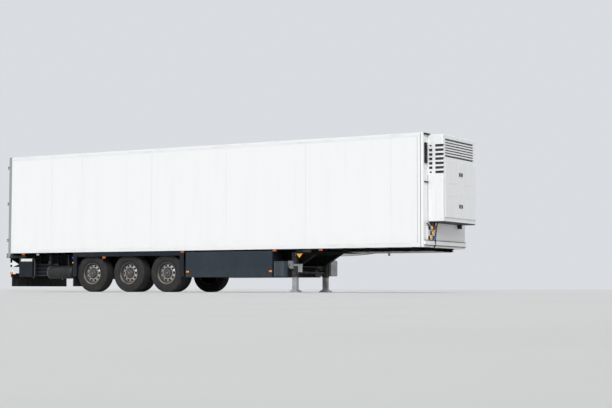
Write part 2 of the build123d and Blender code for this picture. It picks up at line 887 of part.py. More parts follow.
# Rear gussets: a plate at each end of the lamp board and at each end of the bumper
with BuildPart() as rear_gussets:
    for outline in (upper_gusset, lower_gusset):
        prism(side_plane(board_half + gusset_thickness), [(station(x), z) for x, z in outline],
              gusset_thickness)
    mirror(about=Plane.XZ)
finish(rear_gussets.part, "rear_gussets")

# Rear lamps on the board
with BuildPart() as rear_lamps:
    for side in (-1, 1):
        lamp_end = side * (half_width - lamp_end_inset)
        block(
            (lamp_board_x[0] - lamp_depth, lamp_board_x[0]),
            sorted((lamp_end, lamp_end - side * lamp_length)),
            (board_bottom + lamp_lift, board_bottom + lamp_lift + lamp_height),
        )
finish(rear_lamps.part, "rear_lamps")

# Side markers under the body edge, below the skirt beam and at the ends of the bumper
with BuildPart() as side_markers:
    for side in (-1, 1):
        for distance in marker_stations:
            marker_x = station(distance)
            on_post = skirt_front <= marker_x <= skirt_front + skirt_post_width
            inner_y = skirt_outside if on_post else half_width - marker_thickness
            block(
                (marker_x - marker_length / 2, marker_x + marker_length / 2),
                sorted((side * inner_y, side * half_width)),
                (body_underside - marker_height, body_underside),
            )
        beam_marker_x = station(beam_marker_station)
        block(
            (beam_marker_x - marker_length / 2, beam_marker_x + marker_length / 2),
            sorted((side * skirt_inside, side * half_width)),
            (skirt_beam_bottom - marker_height, skirt_beam_bottom),
        )
        end_lamp_y = board_half + gusset_thickness
        block(
            (station(end_lamp[0]), station(end_lamp[1])),
            sorted((side * end_lamp_y, side * (end_lamp_y + end_lamp_reach))),
            end_lamp_height,
        )
finish(side_markers.part, "side_markers")

# Dock buffers on the rear sill
with BuildPart() as buffers:
    for side in (-1, 1):
        block(
            (rear_face - buffer_reach, rear_face),
            sorted((side * (half_width - buffer_inset), side * (half_width - buffer_inset - buffer_width))),
            (sill_bottom, body_underside),
        )
    fillet(buffers.faces().sort_by(Axis.X)[:2].edges().filter_by(Axis.Y), buffer_radius)
finish(buffers.part, "buffers")

# Floor of the load space
inner_half_width = half_width - wall_thickness
with BuildPart() as floor:
    block((body_rear, body_front), (-inner_half_width, inner_half_width), (body_underside, floor_top))
finish(floor.part, "floor")

# Edge rails along the bottom and the top of each side, with the outer top edge rounded
with BuildPart() as bottom_rails:
    block(
        (body_rear, body_front),
        (inner_half_width, half_width),
        (body_underside, body_underside + edge_rail_height),
    )
    mirror(about=Plane.XZ)
finish(bottom_rails.part, "bottom_rails")

with BuildPart() as top_rails:
    block(
        (body_rear, body_front),
        (inner_half_width, half_width),
        (overall_height - edge_rail_height, overall_height),
    )
    fillet(top_rails.edges().filter_by(Axis.X).group_by(Axis.Z)[-1].sort_by(Axis.Y)[-1], edge_rail_radius)
    mirror(about=Plane.XZ)
finish(top_rails.part, "top_rails")

# Side walls between the edge rails, set back a little
for side, name in ((-1, "side_wall_right"), (1, "side_wall_left")):
    with BuildPart() as side_wall:
        block(
            (body_rear, body_front),
            sorted((side * inner_half_width, side * (half_width - wall_recess))),
            (body_underside + edge_rail_height, overall_height - edge_rail_height),
        )
    finish(side_wall.part, name)

# Roof panel between the top rails
with BuildPart() as roof:
    block((body_rear, body_front), (-inner_half_width, inner_half_width), (roof_bottom, overall_height))
finish(roof.part, "roof")

# Front wall with rounded corners and a ledge along its foot
with BuildPart() as front_wall:
    block((body_front, front_face), (-half_width, half_width), (body_underside, overall_height))
    front_corners = front_wall.edges().filter_by(Axis.Z).group_by(Axis.X)[-1]
    fillet(front_corners, front_corner_radius)
    ledge_bottom = body_underside + front_ledge_lift
    block(
        (front_face, front_face + front_ledge_reach),
        (-half_width + front_ledge_inset, half_width - front_ledge_inset),
        (ledge_bottom, ledge_bottom + front_ledge_height),
    )
finish(front_wall.part, "front_wall")

# Front vents: a louvred strip on each side of the unit
vent_pitch = (front_vent_height[1] - front_vent_height[0] - front_vent_slat) / (front_vent_count - 1)
with BuildPart() as front_vents:
    block((front_face, front_face + front_vent_base), front_vent_place, front_vent_height)
    for i in range(front_vent_count):
        slat_low = front_vent_height[0] + i * vent_pitch
        block(
            (front_face + front_vent_base, front_face + front_vent_reach),
            front_vent_place,
            (slat_low, slat_low + front_vent_slat),
        )
    mirror(about=Plane.XZ)
finish(front_vents.part, "front_vents")

# Rear frame: sill, posts and header round the doorway, with the fixed halves of the door hinges
doorway_half = half_width - post_width
doorway_top = overall_height - header_height
hinge_x = rear_face - hinge_setback
hinge_y = half_width - hinge_inset
with BuildPart() as rear_frame:
    block((rear_face, body_rear), (-half_width, half_width), (body_underside, overall_height))
    sill_outline = [
        (rear_face, sill_bottom),
        (rear_face + sill_foot, sill_bottom),
        (body_rear, body_underside),
        (rear_face, body_underside),
    ]
    prism(side_plane(half_width), sill_outline, body_width)
    block((rear_face, body_rear), (-doorway_half, doorway_half), (sill_top, doorway_top), Mode.SUBTRACT)
    for height in hinge_heights:
        for side in (-1, 1):
            lug_outline = [
                (rear_face, side * (half_width - 70)),
                (rear_face, side * half_width),
                (hinge_x, side * half_width),
                (hinge_x - knuckle_radius, side * (hinge_y + 6)),
                (hinge_x - knuckle_radius, side * (hinge_y - 6)),
                (hinge_x, side * (hinge_y - knuckle_radius)),
            ]
            for end in (-1, 1):
                near = height + end * (knuckle_height / 2 + hinge_lug_gap)
                far = near + end * hinge_lug_thickness
                prism(Plane.XY.offset(min(near, far)), lug_outline, hinge_lug_thickness)
            pin_length = knuckle_height + 2 * hinge_lug_gap
            rod((hinge_x, side * hinge_y, height - pin_length / 2), (0, 0, 1), hinge_pin_radius, pin_length)
finish(rear_frame.part, "rear_frame")

# Rear doors and the gear on them: hinge straps, lock rods in their guides, and a handle to each rod
leaf_bottom = sill_top + door_gap
leaf_top = doorway_top - door_gap
leaf_outer_y = doorway_half - door_gap
arm_inner = (rear_face - strap_thickness / 2, leaf_outer_y - arm_lap)
for side, word in ((-1, "right"), (1, "left")):
    with BuildPart() as door:
        leaf_outline = [
            (rear_face, side * door_gap),
            (rear_face, side * leaf_outer_y),
            (rear_face + door_thickness, side * leaf_outer_y),
            (rear_face + door_thickness, side * (door_gap + door_gap)),
            (rear_face + door_thickness - door_edge_chamfer, side * door_gap),
        ]
        prism(Plane.XY.offset(leaf_bottom), leaf_outline, leaf_top - leaf_bottom)
    finish(door.part, f"door_{word}")

    with BuildPart() as door_gear:
        pin = Vector(hinge_x, side * hinge_y)
        elbow = Vector(arm_inner[0], side * arm_inner[1])
        across = (elbow - pin).normalized().cross(Vector(0, 0, 1)) * arm_half
        goose_neck = [pin + across, elbow + across, elbow - across, pin - across]
        for height in hinge_heights:
            low = height - knuckle_height / 2
            prism(Plane.XY.offset(low), [(p.X, p.Y) for p in goose_neck], knuckle_height)
            block(
                (rear_face, rear_face + door_thickness),
                sorted((side * (leaf_outer_y - strap_length), side * (leaf_outer_y + door_gap))),
                (low, low + knuckle_height),
                Mode.SUBTRACT,
            )
            block(
                (rear_face - strap_thickness, rear_face),
                sorted((side * (leaf_outer_y - strap_length), side * (leaf_outer_y - strap_end_gap))),
                (low, low + knuckle_height),
            )
            rod((hinge_x, side * hinge_y, low), (0, 0, 1), knuckle_radius, knuckle_height)
            rod((hinge_x, side * hinge_y, low), (0, 0, 1), hinge_pin_radius + hinge_pin_clearance,
                knuckle_height, Mode.SUBTRACT)
        rod_x = rear_face - rod_standoff
        rod_low = leaf_bottom - rod_overrun
        rod_high = leaf_top + rod_overrun
        for place, way, handle_height in lock_rods:
            rod((rod_x, side * place, rod_low), (0, 0, 1), rod_radius, rod_high - rod_low)
            guide_pitch = (leaf_top - leaf_bottom - 2 * rod_guide_inset) / (rod_guide_count - 1)
            for i in range(rod_guide_count):
                guide_z = leaf_bottom + rod_guide_inset + i * guide_pitch
                block(
                    (rear_face - rod_guide_reach, rear_face),
                    (side * place - rod_guide_size / 2, side * place + rod_guide_size / 2),
                    (guide_z - rod_guide_half_height, guide_z + rod_guide_half_height),
                )
            handle_end = side * (place + way * handle_length)
            block(
                (rod_x - handle_thickness / 2, rod_x + handle_thickness / 2),
                sorted((side * place, handle_end)),
                (handle_height, handle_height + handle_section),
            )
            block(
                (rod_x, rear_face),
                sorted([handle_end - side * way * reach for reach in keeper_reach]),
                (handle_height - keeper_lap, handle_height + handle_section + keeper_lap),
            )
    finish(door_gear.part, f"door_gear_{word}")

# Refrigeration unit: a hollow housing with slots in its sides and slats over its coil
unit_front = front_face + unit_depth - unit_door_thickness - unit_door_gap
unit_pivot_x = front_face + unit_depth - unit_door_thickness / 2
unit_opening_half = unit_half_width - unit_wall - unit_opening_inset
unit_pivot_y = unit_opening_half + unit_door_overlap
with BuildPart() as unit_housing:
    block((front_face, unit_front), (-unit_half_width, unit_half_width), (unit_bottom, unit_top))
    fillet(unit_housing.edges().filter_by(Axis.Z).group_by(Axis.X)[-1], unit_edge_radius)
    fillet(unit_housing.edges().filter_by(Axis.Y).group_by(Axis.X)[-1], unit_edge_radius / 2)
    block(
        (front_face, unit_front - unit_wall),
        (-unit_half_width + unit_wall, unit_half_width - unit_wall),
        (unit_bottom + unit_wall, unit_top - unit_wall),
        Mode.SUBTRACT,
    )
    block(
        (unit_front - unit_wall, unit_front),
        (-unit_opening_half, unit_opening_half),
        (unit_door_bottom + unit_door_overlap, unit_door_top - unit_door_overlap),
        Mode.SUBTRACT,
    )
    block(
        (unit_front - unit_wall, unit_front),
        (-grille_half_width, grille_half_width),
        (grille_bottom, grille_top),
        Mode.SUBTRACT,
    )
    slat_pitch = (grille_top - grille_bottom) / (slat_count + 1)
    for i in range(slat_count):
        slat_z = grille_bottom + (i + 1) * slat_pitch
        block(
            (unit_front - slat_depth, unit_front),
            (-grille_half_width, grille_half_width),
            (slat_z - slat_height / 2, slat_z + slat_height / 2),
        )
    slot_heights = [slot_top_row - row * slot_pitch for row in range(slot_rows)]
    with BuildSketch(side_plane(unit_half_width)):
        with Locations(*[(front_face + sum(small_slot) / 2, z) for z in slot_heights[1:-1]]):
            Rectangle(small_slot[1] - small_slot[0], slot_height)
        with Locations(*[(front_face + sum(small_slot) / 2, z) for z in (slot_heights[0], slot_heights[-1])]):
            Rectangle(end_slot_width, end_slot_height)
    extrude(amount=2 * unit_half_width, mode=Mode.SUBTRACT)
    with BuildSketch(cross_plane(front_face + wrapped_slot_start)):
        with Locations(*[
            (side * (unit_half_width - wrapped_slot_turn / 2), z) for side in (-1, 1) for z in slot_heights
        ]):
            Rectangle(wrapped_slot_turn, slot_height)
    extrude(amount=unit_depth, mode=Mode.SUBTRACT)
    for side in (-1, 1):
        for lug_z, inward in ((unit_door_bottom, 1), (unit_door_top, -1)):
            lug = sorted((lug_z - inward * unit_door_gap, lug_z - inward * (unit_door_gap + unit_lug_thickness)))
            block(
                (unit_front, unit_pivot_x + 2 * unit_pin_radius),
                sorted((side * (unit_pivot_y - 10), side * (unit_pivot_y + 10))),
                lug,
            )
            rod((unit_pivot_x, side * unit_pivot_y, lug_z - inward * unit_door_gap), (0, 0, inward),
                unit_pin_radius, unit_door_gap + pin_hold)
finish(unit_housing.part, "unit_housing")

# Unit doors: two leaves in front of the machinery, hinged at their rounded outer edges
for side, name in ((-1, "unit_door_right"), (1, "unit_door_left")):
    with BuildPart() as unit_door:
        block(
            (front_face + unit_depth - unit_door_thickness, front_face + unit_depth),
            sorted((side * unit_door_gap, side * unit_pivot_y)),
            (unit_door_bottom, unit_door_top),
        )
        rod((unit_pivot_x, side * unit_pivot_y, unit_door_bottom), (0, 0, 1), unit_door_thickness / 2,
            unit_door_top - unit_door_bottom)
        for end_z, inward in ((unit_door_bottom, 1), (unit_door_top, -1)):
            rod((unit_pivot_x, side * unit_pivot_y, end_z), (0, 0, inward),
                unit_pin_radius + lid_pin_clearance, pin_socket, Mode.SUBTRACT)
    finish(unit_door.part, name)

# Engine block of the unit, on the floor of its housing
engine_x = front_face + (unit_depth - engine_size[0]) / 2 - engine_set_back
with BuildPart() as unit_engine:
    block(
        (engine_x, engine_x + engine_size[0]),
        (-engine_size[1] / 2, engine_size[1] / 2),
        (unit_bottom + unit_wall, unit_bottom + unit_wall + engine_size[2]),
    )
finish(unit_engine.part, "unit_engine")

# Condenser coil behind the slats, from wall to wall of the housing
condenser_x = unit_front - unit_wall - condenser_gap
with BuildPart() as unit_condenser:
    block(
        (condenser_x - condenser_thickness, condenser_x),
        (-unit_half_width + unit_wall, unit_half_width - unit_wall),
        (grille_bottom - condenser_gap, grille_top + condenser_gap),
    )
finish(unit_condenser.part, "unit_condenser")

# Evaporator inside the load space, high on the front wall
evaporator_top = roof_bottom - evaporator_gap
evaporator_back = body_front - evaporator_depth
evaporator_outline = [
    (body_front, evaporator_top - evaporator_height),
    (body_front, evaporator_top),
    (evaporator_back, evaporator_top),
    (evaporator_back, evaporator_top - evaporator_height / 2),
    (evaporator_back + evaporator_depth / 2, evaporator_top - evaporator_height),
]
with BuildPart() as evaporator:
    prism(side_plane(evaporator_half_width), evaporator_outline, 2 * evaporator_half_width)
    for place in evaporator_outlet_places:
        rod((evaporator_back, place, evaporator_top - evaporator_height / 4), (1, 0, 0),
            evaporator_outlet_radius, evaporator_outlet_depth, Mode.SUBTRACT)
finish(evaporator.part, "evaporator")

# Coupling board low on the front wall, and the air and electric couplings on it
with BuildPart() as coupling_board:
    block((front_face, front_face + board_thickness), board_place, board_height)
finish(coupling_board.part, "coupling_board")

with BuildPart() as line_couplings:
    for place, height, radius, length in couplings:
        rod((front_face + board_thickness, place, height), (1, 0, 0), radius, length)
finish(line_couplings.part, "line_couplings")

# Wheels: a tyre and a disc wheel with its hub and brake drum, for each end of each axle
bead_radius = rim_seat_radius + tyre_rim_clearance
bead_half = rim_half_width - 3
shoulder_radius = tyre_radius - 16
disc_face = disc_offset + disc_thickness
well_inner = rim_well_radius - rim_wall
barrel_outline = [
    (rim_flange_radius, rim_half_width + rim_flange_thickness),
    (rim_flange_radius, rim_half_width),
    (rim_seat_radius, rim_half_width),
    (rim_seat_radius - 2, rim_half_width - 29),
    (rim_well_radius, disc_offset - 25),
    (rim_well_radius, 10),
    (rim_seat_radius - 4, -60),
    (rim_seat_radius, -rim_half_width),
    (rim_flange_radius, -rim_half_width),
    (rim_flange_radius, -rim_half_width - rim_flange_thickness),
    (rim_flange_radius - rim_wall, -rim_half_width - rim_flange_thickness),
    (rim_seat_radius - rim_wall - 2, -rim_half_width + 9),
    (rim_seat_radius - rim_wall - 4, -60),
    (well_inner, 4),
    (well_inner, disc_offset - 22),
    (rim_seat_radius - rim_wall - 2, rim_half_width - 23),
    (rim_flange_radius - rim_wall, rim_half_width + rim_flange_thickness),
]
disc_outline = [
    (hub_radius, disc_offset),
    (disc_flat_radius, disc_offset),
    (disc_flat_radius + 33, disc_offset - 14),
    (well_inner + 3, disc_offset - 32),
    (well_inner + 3, disc_offset - 18),
    (disc_flat_radius + 37, disc_offset - 2),
    (disc_flat_radius + 5, disc_face),
    (disc_bore_radius, disc_face),
    (disc_bore_radius - 8, disc_face + 18),
    (hub_cap_radius + 6, disc_face + 18),
    (hub_cap_radius, disc_face + 24),
    (hub_cap_radius - 6, disc_face + hub_cap_length - 12),
    (hub_cap_radius - 22, disc_face + hub_cap_length),
    (0, disc_face + hub_cap_length),
    (0, drum_inner_end + 20),
    (hub_radius, drum_inner_end + 20),
]
drum_outline = [
    (hub_radius - 5, disc_offset),
    (drum_radius - 10, disc_offset),
    (drum_radius, disc_offset - 30),
    (drum_radius, drum_inner_end),
    (drum_radius - drum_wall, drum_inner_end),
    (drum_radius - drum_wall, disc_offset - 30),
    (hub_radius - 5, disc_offset - 30),
]
for side, word in ((-1, "right"), (1, "left")):
    outline_plane = wheel_plane(side)
    wheel_axis = Axis((0, side * wheel_y, axle_height), (0, 1, 0))
    with BuildPart() as tyre:
        with BuildSketch(outline_plane):
            with BuildLine():
                Polyline(
                    (bead_radius + 14, -bead_half),
                    (bead_radius, -bead_half),
                    (bead_radius, bead_half),
                    (bead_radius + 14, bead_half),
                )
                ThreePointArc(
                    (bead_radius + 14, bead_half),
                    ((bead_radius + tyre_radius) / 2, tyre_width / 2),
                    (shoulder_radius, tread_half_width),
                )
                Polyline(
                    (shoulder_radius, tread_half_width),
                    (tyre_radius, tread_half_width - 18),
                    (tyre_radius, -tread_half_width + 18),
                    (shoulder_radius, -tread_half_width),
                )
                ThreePointArc(
                    (shoulder_radius, -tread_half_width),
                    ((bead_radius + tyre_radius) / 2, -tyre_width / 2),
                    (bead_radius + 14, -bead_half),
                )
            make_face()
        revolve(axis=wheel_axis)

    with BuildPart() as rim:
        with BuildSketch(outline_plane):
            for outline in (barrel_outline, disc_outline):
                with BuildLine():
                    Polyline(*outline, close=True)
                make_face()
        revolve(axis=wheel_axis)
        disc_plane = Plane(
            origin=(0, side * (wheel_y + disc_face), axle_height),
            x_dir=(1, 0, 0),
            z_dir=(0, side, 0),
        )
        with BuildSketch(disc_plane):
            with PolarLocations(hand_hole_circle, hand_hole_count):
                Circle(hand_hole_radius)
        extrude(amount=-disc_thickness - 40, mode=Mode.SUBTRACT)
        with BuildSketch(outline_plane):
            with BuildLine():
                Polyline(*drum_outline, close=True)
            make_face()
        revolve(axis=wheel_axis)
        rod(
            (0, side * (wheel_y + drum_inner_end + 20), axle_height),
            (0, side, 0),
            spindle_radius + spindle_clearance,
            disc_offset - drum_inner_end - 20,
            Mode.SUBTRACT,
        )

    for index, axle_x in enumerate(axle_places, start=1):
        for shape, kind in ((tyre.part, "tyre"), (rim.part, "rim")):
            with BuildPart() as placed:
                with Locations((axle_x, 0, 0)):
                    add(shape)
            finish(placed.part, f"{kind}_{index}_{word}")
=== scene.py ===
import json
import math
from itertools import product

import bmesh
import bpy
from mathutils import Matrix, Vector


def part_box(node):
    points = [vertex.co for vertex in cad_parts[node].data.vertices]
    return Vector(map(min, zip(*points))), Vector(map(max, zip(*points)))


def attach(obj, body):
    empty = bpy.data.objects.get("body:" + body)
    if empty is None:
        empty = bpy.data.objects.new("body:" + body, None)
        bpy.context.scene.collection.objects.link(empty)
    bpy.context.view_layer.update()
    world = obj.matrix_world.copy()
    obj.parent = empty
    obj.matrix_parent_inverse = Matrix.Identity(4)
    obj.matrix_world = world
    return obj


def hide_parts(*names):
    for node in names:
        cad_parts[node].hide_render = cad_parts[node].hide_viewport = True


# A tri-axle refrigerated semi-trailer. Metres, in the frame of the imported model: +X forward, +Y left, +Z up.
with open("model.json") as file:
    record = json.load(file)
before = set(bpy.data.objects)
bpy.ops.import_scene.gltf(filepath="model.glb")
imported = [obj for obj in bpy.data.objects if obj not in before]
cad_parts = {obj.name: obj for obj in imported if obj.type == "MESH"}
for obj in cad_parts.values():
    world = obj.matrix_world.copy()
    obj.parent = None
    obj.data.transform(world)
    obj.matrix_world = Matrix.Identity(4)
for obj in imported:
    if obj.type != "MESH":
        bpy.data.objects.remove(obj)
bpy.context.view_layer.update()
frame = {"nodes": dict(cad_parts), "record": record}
nodes = frame["nodes"]
print("frame loaded:", len(nodes), "nodes")


# Small tools for materials
def addNode(tree, kind, inputs=None, **settings):
    node = tree.nodes.new(kind)
    for name, value in settings.items():
        setattr(node, name, value)
    for name, value in (inputs or {}).items():
        if isinstance(value, bpy.types.NodeSocket):
            tree.links.new(value, node.inputs[name])
        else:
            node.inputs[name].default_value = value
    return node


def calc(tree, operation, first, second=0.0, third=None):
    node = addNode(tree, "ShaderNodeMath", {0: first, 1: second}, operation=operation)
    if third is not None:
        node.inputs[2].default_value = third
    return node.outputs[0]


def fade(tree, value, start, end):
    # 0 at start, 1 at end, smooth between
    node = addNode(tree, "ShaderNodeMapRange", {"Value": value, "From Min": start, "From Max": end},
                   interpolation_type="SMOOTHSTEP")
    return node.outputs["Result"]


def objectPoint(tree):
    for node in tree.nodes:
        if node.type == "TEX_COORD":
            return node.outputs["Object"]
    return addNode(tree, "ShaderNodeTexCoord").outputs["Object"]


def axisValue(tree, axis):
    return addNode(tree, "ShaderNodeSeparateXYZ", {0: objectPoint(tree)}).outputs[axis]


def grain(tree, scale, stretch=(1, 1, 1), detail=5.0):
    turned = addNode(tree, "ShaderNodeMapping", {"Vector": objectPoint(tree), "Scale": stretch})
    noise = addNode(tree, "ShaderNodeTexNoise", {"Vector": turned.outputs[0], "Scale": scale, "Detail": detail,
                                                 "Roughness": 0.55})
    return noise.outputs[0]


def distance(tree, along, up):
    squares = calc(tree, "ADD", calc(tree, "MULTIPLY", along, along), calc(tree, "MULTIPLY", up, up))
    return calc(tree, "SQRT", squares)


def fromAxle(tree):
    # Place from the nearest axle's line: the axles stand one pitch apart along X
    along = calc(tree, "SUBTRACT", axisValue(tree, "X"), running["firstAxle"] - running["pitch"] / 2)
    along = calc(tree, "WRAP", along, running["pitch"], 0.0)
    along = calc(tree, "SUBTRACT", along, running["pitch"] / 2)
    return along, calc(tree, "SUBTRACT", axisValue(tree, "Z"), running["height"])


def wheelRadius(tree):
    return distance(tree, *fromAxle(tree))


def holeDistance(tree):
    # Distance from the middle of the nearest hand hole
    along, up = fromAxle(tree)
    half = math.pi / running["holes"]
    turn = calc(tree, "WRAP", calc(tree, "ARCTAN2", up, along), half, -half)
    radius = wheelRadius(tree)
    out = calc(tree, "MULTIPLY", radius, calc(tree, "COSINE", turn))
    out = calc(tree, "SUBTRACT", out, running["holeCircle"])
    return distance(tree, out, calc(tree, "MULTIPLY", radius, calc(tree, "SINE", turn)))


def discReach(tree):
    # How far out a point lies, measured along the slope of the wheel's disc
    slope = calc(tree, "MAXIMUM", calc(tree, "SUBTRACT", wheelRadius(tree), 0.195))
    out = calc(tree, "MULTIPLY_ADD", slope, 0.55, 0.0)
    return calc(tree, "ADD", out, calc(tree, "ABSOLUTE", axisValue(tree, "Y")))


# What a mask can fade with: its key, and how that is measured
fadeMeasures = {
    "height": lambda tree: axisValue(tree, "Z"), "radius": wheelRadius, "within": wheelRadius,
    "hole": holeDistance, "across": lambda tree: axisValue(tree, "Y"), "behind": discReach,
}


def maskOf(tree, scale, share, levels, stretch=(1, 1, 1), detail=5.0, **fades):
    # Grain between two levels, times its fades
    value = fade(tree, grain(tree, scale, stretch, detail), *levels)
    for key, measure in fadeMeasures.items():
        if key in fades:
            value = calc(tree, "MULTIPLY", value, fade(tree, measure(tree), *fades[key]))
    return calc(tree, "MULTIPLY", value, share)


def layer(colour, roughness, scale, share=1.0, levels=(0.4, 0.65), metallic=None, **mask):
    # Dirt, dust, rust, wear, painted shade or painted light over a finish. Scale and levels shape its grain, share is
    # how much of it shows
    return {"colour": colour, "roughness": roughness, "metallic": metallic,
            "mask": {"scale": scale, "share": share, "levels": levels, **mask}}


def surface(name, **look):
    # A finish with its layers, and bumps of (scale, strength, depth, stretch)
    material = bpy.data.materials.new(name)
    material.use_nodes = True
    tree = material.node_tree
    shader = tree.nodes["Principled BSDF"]
    linked = {}
    for above in look.get("layers", ()):
        mask = maskOf(tree, **above["mask"])
        below = linked.get("Base Color", (*look["colour"], 1))
        linked["Base Color"] = addNode(tree, "ShaderNodeMix", {"Factor": mask, 6: below, 7: (*above["colour"], 1)},
                                       data_type="RGBA").outputs[2]
        for key, socket in (("roughness", "Roughness"), ("metallic", "Metallic")):
            if above[key] is not None and look.get(key):
                linked[socket] = addNode(tree, "ShaderNodeMix",
                                         {"Factor": mask, 2: linked.get(socket, look[key]), 3: above[key]}).outputs[0]
    for scale, strength, depth, *stretch in look.get("bumps", ()):
        inputs = {"Height": grain(tree, scale, *stretch, detail=3.0), "Strength": strength, "Distance": depth}
        if "Normal" in linked:
            inputs["Normal"] = linked["Normal"]
        linked["Normal"] = addNode(tree, "ShaderNodeBump", inputs).outputs[0]
    for socket, value in (
        ("Base Color", (*look["colour"], 1)), ("Roughness", look["roughness"]), ("Metallic", look.get("metallic", 0.0)),
        ("Coat Weight", look.get("coat", 0.0)), ("Coat Roughness", look.get("coatRoughness", 0.1)),
        ("Specular IOR Level", look.get("specular", 0.5)),
    ):
        shader.inputs[socket].default_value = value
    for socket, value in linked.items():
        tree.links.new(value, shader.inputs[socket])
    return material


# Places that several finishes and pieces use, from the frame
tyreLow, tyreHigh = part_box("tyre_1_right")
running = {
    "pitch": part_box("tyre_2_right")[0].x - tyreLow.x, "firstAxle": (tyreLow.x + tyreHigh.x) / 2,
    "height": (tyreLow.z + tyreHigh.z) / 2, "holes": 10, "holeCircle": 0.203,
}
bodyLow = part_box("bottom_rails")[0].z
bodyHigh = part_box("top_rails")[1].z
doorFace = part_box("door_right")[0].x
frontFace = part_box("unit_housing")[0].x
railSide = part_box("bottom_rails")[1].y
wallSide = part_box("side_wall_left")[1].y
sides = ((-1, "right"), (1, "left"))

# Finishes
roadDust = (0.16, 0.14, 0.12)
everywhere = (0.0, 0.1)  # levels that all of the grain is above

whitePaint = surface(
    "whitePaint", colour=(0.87, 0.88, 0.88), roughness=0.34, coat=0.25, coatRoughness=0.12,
    layers=[layer((0.8, 0.8, 0.79), 0.42, 1.1, 0.2, (0.42, 0.75), stretch=(5, 5, 0.25)),
            layer((0.62, 0.6, 0.56), 0.55, 2.2, 0.15, (0.35, 0.8), stretch=(2, 2, 0.6),
                  height=(bodyLow + 0.45, bodyLow))], bumps=[(0.9, 0.25, 0.004, (1, 1, 0.5)), (260, 0.06, 0.0005)])
roofPaint = surface(
    "roofPaint", colour=(0.78, 0.79, 0.79), roughness=0.65, specular=0.25,
    layers=[layer((0.6, 0.59, 0.56), 0.8, 1.3, 0.4, (0.4, 0.8), stretch=(0.6, 2, 2))], bumps=[(260, 0.06, 0.0005)])
whiteProfile = surface(
    "whiteProfile", colour=(0.83, 0.84, 0.85), roughness=0.3, coat=0.2,
    layers=[layer((0.66, 0.65, 0.62), 0.5, 3.5, 0.45, (0.45, 0.75), stretch=(0.6, 3, 3))],
    bumps=[(180, 0.08, 0.0006, (0.15, 1, 1))])
shellPlastic = surface(
    "shellPlastic", colour=(0.84, 0.85, 0.86), roughness=0.28, coat=0.35, coatRoughness=0.08,
    layers=[layer((0.7, 0.69, 0.66), 0.5, 2.4, 0.45, (0.45, 0.8), stretch=(3, 3, 0.35))], bumps=[(420, 0.05, 0.0004)])
slateBumps = [(1.4, 0.2, 0.003), (300, 0.08, 0.0005)]
slatePaint = surface(
    "slatePaint", colour=(0.02, 0.03, 0.041), roughness=0.45, specular=0.3,
    layers=[layer((0.034, 0.043, 0.053), 0.55, 1.2, 0.6, (0.4, 0.75), stretch=(1.5, 1.5, 0.8)),
            layer((0.075, 0.073, 0.07), 0.8, 6, 0.3, (0.35, 0.8), height=(0.75, 0.36))], bumps=slateBumps)
# Slate paint darkened by painted shade, for the pieces that stand in the shade under the body
slatePaintedShade = surface(
    "slatePaintedShade", colour=(0.008, 0.0125, 0.019), roughness=0.5, specular=0.25,
    layers=[layer((0.017, 0.021, 0.028), 0.6, 1.6, 0.6, (0.4, 0.75), stretch=(2.5, 2.5, 0.6)),
            layer((0.055, 0.051, 0.047), 0.8, 6, 0.3, (0.35, 0.8), height=(0.75, 0.36))], bumps=slateBumps)
boxPaint = surface(
    "boxPaint", colour=(0.034, 0.045, 0.056), roughness=0.45, specular=0.4,
    layers=[layer((0.075, 0.092, 0.11), 0.5, 6, 0.7, (0.4, 0.6), stretch=(1, 1, 0.05))], bumps=slateBumps)
chassisPaint = surface(
    "chassisPaint", colour=(0.004, 0.0045, 0.006), roughness=0.6, specular=0.2,
    layers=[layer((0.012, 0.0115, 0.011), 0.8, 4, 0.6, (0.35, 0.75)),
            layer((0.055, 0.048, 0.041), 0.9, 14, 0.45, (0.5, 0.85), height=(0.9, 0.2)),
            layer((0.08, 0.03, 0.014), 0.85, 23, 0.35, (0.64, 0.7))], bumps=[(60, 0.3, 0.001)])
legPaint = surface(
    "legPaint", colour=(0.04, 0.04, 0.043), roughness=0.5, specular=0.4,
    layers=[layer((0.016, 0.015, 0.015), 0.7, 5, 0.7, (0.4, 0.7)),
            layer((0.09, 0.06, 0.04), 0.85, 9, 0.6, (0.4, 0.7), height=(0.8, 0.4))], bumps=[(60, 0.3, 0.001)])
tankPaint = surface(
    "tankPaint", colour=(0.018, 0.019, 0.021), roughness=0.5, specular=0.35,
    layers=[layer((0.004, 0.004, 0.005), 0.6, 9, levels=everywhere, height=(0.765, 0.772)),
            layer((0.055, 0.051, 0.048), 0.8, 5, 0.45, (0.4, 0.8), stretch=(0.4, 2, 2))], bumps=[(50, 0.15, 0.001)])
# Dark rack steel; its back, inboard of the slats, is near-black painted shade
rackSteelAndPaintedShade = surface(
    "rackSteelAndPaintedShade", colour=(0.035, 0.038, 0.045), roughness=0.5,
    layers=[layer((0.004, 0.005, 0.007), 0.8, 9, levels=everywhere, across=(-0.826, -0.814))])
bareSteel = surface(
    "bareSteel", colour=(0.42, 0.4, 0.38), roughness=0.42, metallic=0.9,
    layers=[layer((0.05, 0.045, 0.04), 0.3, 5, 0.85, (0.45, 0.62), metallic=0.2),
            layer((0.2, 0.08, 0.03), 0.85, 17, 0.7, (0.55, 0.7), metallic=0.1)], bumps=[(90, 0.25, 0.0008)])
dullSteel = surface(
    "dullSteel", colour=(0.13, 0.13, 0.132), roughness=0.5, metallic=0.4, specular=0.4,
    layers=[layer((0.06, 0.056, 0.052), 0.8, 14, 0.7)], bumps=[(90, 0.2, 0.0006)])
galvanised = surface(
    "galvanised", colour=(0.5, 0.52, 0.53), roughness=0.45, metallic=0.6,
    layers=[layer((0.36, 0.37, 0.38), 0.55, 35, 0.6, (0.45, 0.55), metallic=0.6, detail=1.0),
            layer(roadDust, 0.9, 5, 0.7, (0.4, 0.8), metallic=0.1, height=(1.0, 0.1))], bumps=[(40, 0.12, 0.0008)])
